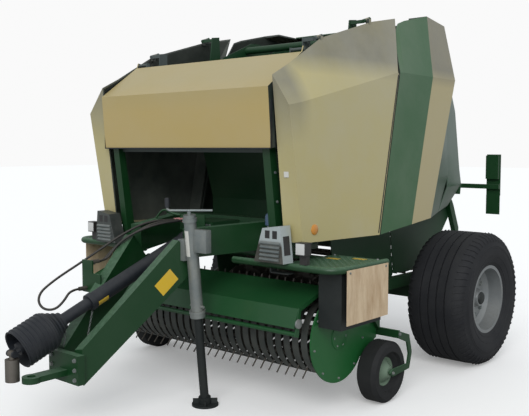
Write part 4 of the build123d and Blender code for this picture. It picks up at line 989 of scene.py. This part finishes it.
film("arm_film", at(ARM_FILM_X, ARM_FILM_Y, 0.868) + ARM_SIDE * (ARM_HALF + FILM_THICK / 2),
     upright(ARM_SIDE, ARM_FALL.cross(ARM_SIDE)), (0.150, 0.095), "yellow film", "frame", "machine_green")
film("hood_film", at(0.905, -2.0575, 1.565), upright((0.07, -1, -0.1)), (0.036, 0.036),
     "white film", "hood_left", "cover_cream")
for index, (x, y) in enumerate(((0.965, -1.640), (1.110, -1.545))):
    film(f"platform_film_{index}", at(x, y, 1.0006), upright(UP, REAR), (0.095, 0.045),
         "yellow film", "frame", "machine_green")

# %% [markdown]
# The jack leans a little, so its parts are placed along its own axis: two collars and a pin on the outer
# tube, and four gussets on its foot. Its clamp and the grip of its crank stand upright. A white film is
# bent round the tube, and a yellow one round the drive shaft's guard in the same way.

# %% Jack fittings and bent films
JACK_FOOT, JACK_TOP = at(0.302, -2.180, 0), at(0.345, -2.353, 1.290)
JACK_AXIS = (JACK_TOP - JACK_FOOT).normalized()
JACK_RADIUS = 0.0398
CRANK = at(0.345 - 0.1043, -2.353 - 0.0960, 1.330)


def curved_film(name, origin, axis, radius, low, high, towards, half_angle, *looks):
    """A blank film bent round part of a tube, centred on the side that faces a direction."""
    bm = bmesh.new()
    turn = facing(axis)
    local = turn.transposed() @ Vector(towards)
    middle = math.atan2(local.y, local.x)
    steps, outside = 14, radius + 0.001
    angles = [middle + half_angle * (2 * i / steps - 1) for i in range(steps + 1)]
    section = ((low, radius), (high, radius), (high, outside), (low, outside))
    loft(bm, [[origin + turn @ Vector((out * math.cos(angle), out * math.sin(angle), along))
               for along, out in section] for angle in angles])
    piece(name, bm, *looks)


curved_film("jack_film", JACK_FOOT, JACK_AXIS, JACK_RADIUS, 1.045, 1.215, (-0.35, -1, 0), 0.75,
            "white film", "frame", "galvanised")
curved_film("shaft_film", SHAFT_ROOT, SHAFT_AXIS, 0.0502, 0.755, 0.835, (0.85, -0.1, -0.75), 0.5,
            "yellow film", "shaft_rear", "guard_plastic")
boxes("jack_clamp", [(at(0.4325, -2.325, 1.135), (0.112, 0.050, 0.150), None, 0.006)],
      "zinc", "frame", "galvanised")
bm = bmesh.new()
add_sleeve(bm, 0.655, 0.672, 0.054, JACK_RADIUS, JACK_FOOT, JACK_AXIS)
add_sleeve(bm, 1.268, 1.292, 0.047, JACK_RADIUS, JACK_FOOT, JACK_AXIS)
pin = JACK_FOOT + JACK_AXIS * 0.700
add_rod(bm, pin - Vector((0.058, 0, 0)), pin + Vector((0.062, 0, 0)), 0.009)
piece("jack_collars", bm, "zinc", "frame", "galvanised")
turned("crank_grip", [(0.018, 0.011), (0.020, 0.0155), (0.072, 0.0165), (0.080, 0.0155), (0.082, 0.010)],
       CRANK, UP, 24, "guard plastic", "frame", "guard_plastic")
outward = [Vector((math.cos(a), math.sin(a), 0)) for a in on_circle(4, math.pi / 4)]
boxes("foot_gussets", [(JACK_FOOT + out * 0.058 + Vector((0, 0, 0.030)), (0.050, 0.036, 0.006),
                        upright(out.cross(Vector(UP)))) for out in outward],
      "dark steel", "jack", "dark_steel")

# %% [markdown]
# The step platforms are pressed tread plate: rows of small lozenges, every other one turned a quarter. One
# tree fills both plates.

# %% Tread plate
def lozenge():
    """One raised mark of a tread plate."""
    bm = bmesh.new()
    outline = [(-0.012, 0), (0, -0.0032), (0.012, 0), (0, 0.0032)]
    loft(bm, [[(x, y, -0.0005) for x, y in outline], [(x * 0.8, y * 0.6, 0.0016) for x, y in outline]])
    return bm


for side_name, sign in SIDES:
    copies("tread_plate_" + side_name, IN_ROWS, lozenge(),
           {"Size X": 0.350, "Size Y": 0.470, "Rows X": 13, "Rows Y": 17,
            "Centre": at(sign * 1.0525, -1.745, 1.0)}, (), "green paint", "frame", "machine_green", 0)

# %% [markdown]
# The wheel chocks are folded zinc sheet: two windows near the top and a row of pressed ribs below them. The
# windows are thin dark plates: painted shade where the sheet is open. The ribs are one bar copied by the tree
# on a list of points up the face.

# %% Chock ribs and windows
CHOCK_Z = BAR_Z + 0.0228
windows = [box for shift in (-0.030, 0.030)
           for box in both_sides((0.842 + shift, -2.1303, CHOCK_Z + 0.178), (0.038, 0.0012, 0.050))]
windows += both_sides((0.9285, -2.080, CHOCK_Z + 0.110), (0.0012, 0.060, 0.120),
                      Matrix.Rotation(-0.106, 3, "Y"))
boxes("chock_windows", windows, "lamp housing", "frame", "dark_steel")
bm = bmesh.new()
loft(bm, [[(x, -0.011, -0.001), (x, 0.011, -0.001), (x, 0.003, 0.010), (x, -0.003, 0.010)]
          for x in (-0.078, 0.078)])
places = both([((0.826 + 0.08 * height, -2.130, CHOCK_Z + height), FRONT)
               for height in (0.020, 0.046, 0.072, 0.098, 0.124)])
copies("chock_ribs", ON_POINTS, bm, {"Size": 1.0}, [(at(*point), direction) for point, direction in places],
       "zinc", "frame", "galvanised")

# %% [markdown]
# Small fittings at the front: a blue cap on a hydraulic stub beside the left post, a dark L bracket under
# the left bumper bar, pink sleeves where the hoses leave their couplers, and the bent rod that holds the
# hoses off the right arm.

# %% Small fittings
STUB_X, STUB_Y = 0.690, -1.970
bm = bmesh.new()
add_rod(bm, at(STUB_X, STUB_Y, 1.078), at(STUB_X, STUB_Y, 1.232), 0.014)
piece("stub_pipes", bm, "zinc", "frame", "galvanised")
turned("blue_cap", [(0, 0.020), (0.004, 0.026), (0.060, 0.027), (0.078, 0.018), (0.081, 0.006)],
       at(STUB_X, STUB_Y, 1.225), UP, 28, "blue cap", "frame", "guard_plastic")
boxes("bar_bracket", [(at(0.790, -2.045, 0.956), (0.010, 0.060, 0.035), None, 0.002),
                      (at(0.862, -2.045, 0.943), (0.150, 0.060, 0.008), None, 0.002)],
      "dark steel", "frame", "dark_steel")
bm = bmesh.new()
for x in (-0.100, -0.060, -0.020):
    add_sleeve(bm, 0.004, 0.050, 0.0115, 0.0079, at(x, -2.028, 1.225), FRONT, 20)
piece("hose_sleeves", bm, "pink sleeve", "frame", "hose_rubber")

ROD_ROUTE = [(-0.122, -1.998, 1.250), (-0.200, -1.998, 1.252), (-0.270, -2.000, 1.285),
             (-0.330, -2.005, 1.270), (-0.420, -2.030, 1.130), (-0.500, -2.048, 1.020),
             (-0.505, -2.049, 0.995)]
rod = smooth_curve("hose_rod_line", [at(*point) for point in ROD_ROUTE], 0.008)
rod_mesh = baked(rod)
bpy.data.objects.remove(rod)
piece("hose_rod", rod_mesh, "green paint", "frame", "machine_green", 60)

# %% [markdown]
# Two chains hang from the drive shaft's guard: the ones that keep it from turning. A chain is one ring
# copied down a line of points, every other ring turned a quarter.

# %% Chains
LINK_STEP = 0.017
LINK_HALF_WIDE, LINK_HALF_LONG, WIRE = 0.0048, 0.0105, 0.0021


def link_pair():
    """Two oval links, the second turned a quarter, hanging down from the origin along Z."""
    bm = bmesh.new()
    for index in range(2):
        quarter = Matrix.Rotation(math.pi / 2 * index, 3, "Z")
        hang = Vector((0, 0, LINK_STEP * (index + 0.5)))
        rings = []
        for angle in on_circle(12):
            out = Vector((math.cos(angle), 0, math.sin(angle)))
            middle = Vector((LINK_HALF_WIDE * out.x, 0, LINK_HALF_LONG * out.z))
            rings.append([bm.verts.new(quarter @ (middle + WIRE * (out * math.cos(turn)
                                                                   + Vector((0, math.sin(turn), 0)))) + hang)
                          for turn in on_circle(6)])
        skin(bm, rings, closed=True)
    return bm


def chain(name, top, bottom, body):
    """Links hanging between two points."""
    top, bottom = at(*top), at(*bottom)
    down = (bottom - top).normalized()
    count = int((bottom - top).length / (2 * LINK_STEP))
    copies(name, ON_POINTS, link_pair(), {"Size": 1.0},
           [(top + down * (2 * LINK_STEP * i), down) for i in range(count)], "zinc", body, "galvanised", 60)


chain("shaft_chain_rear", (-0.054, -2.823, 0.716), (-0.060, -2.880, 0.470), "shaft_rear")
chain("shaft_chain_front", (-0.068, -3.020, 0.600), (-0.068, -3.045, 0.440), "shaft_front")

# %% [markdown]
# The pick-up's ends: a bearing cap on each side plate, a triangular stay behind it, and the round stop of
# the wind guard.

# %% Pick-up ends
BEARING = [(0.0, 0.085), (0.006, 0.083), (0.010, 0.050), (0.013, 0.032), (0.014, 0.004)]
STOP = [(0, 0.030), (0.010, 0.029), (0.013, 0.012), (0.014, 0.003)]
for side_name, sign in SIDES:
    turned("reel_bearing_" + side_name, BEARING, at(sign * 1.062, -1.700, 0.500), (sign, 0, 0), 32,
           "side green", "pickup", "machine_green")
    turned("guard_stop_" + side_name, STOP, at(sign * 1.0295, -2.092, 0.648), (sign, 0, 0), 28,
           "zinc", "guard", "galvanised")
bm = bmesh.new()
for _, sign in SIDES:
    loft(bm, [[at(sign * x, y, z) for y, z in ((-1.400, 0.640), (-1.262, 0.470), (-1.262, 0.640))]
              for x in (1.0625, 1.0925)])
piece("side_stays", bm, "green paint", "pickup", "machine_green", 0)

# %% [markdown]
# Dark strips under the front cover and down its ends, and one along each hood's rear seam: painted shade for
# the gaps at these edges.

# %% Strips of painted shade at the gaps
strips = [(at(0, -2.112, 1.7275), (1.640, 0.020, 0.008), None, 0.002)]
strips += both_sides((0.8262, -2.108, 1.880), (0.004, 0.016, 0.300), bevel=0.001)
boxes("cover_seal", strips, "guard plastic", "net_cover", "guard_plastic")
SEAM_X = 0.9858
for side_name, sign in SIDES:
    start, end = at(sign * SEAM_X, -1.1235, 1.130), at(sign * SEAM_X, -0.8840, 2.255)
    along = end - start
    lean = Matrix.Rotation(-math.atan2(along.y, along.z), 3, "X")
    boxes("seam_seal_" + side_name, [((start + end) / 2, (0.0025, 0.010, along.length), lean)],
          "guard plastic", "hood_" + side_name, "guard_plastic")

# %% Finish
bpy.context.view_layer.update()
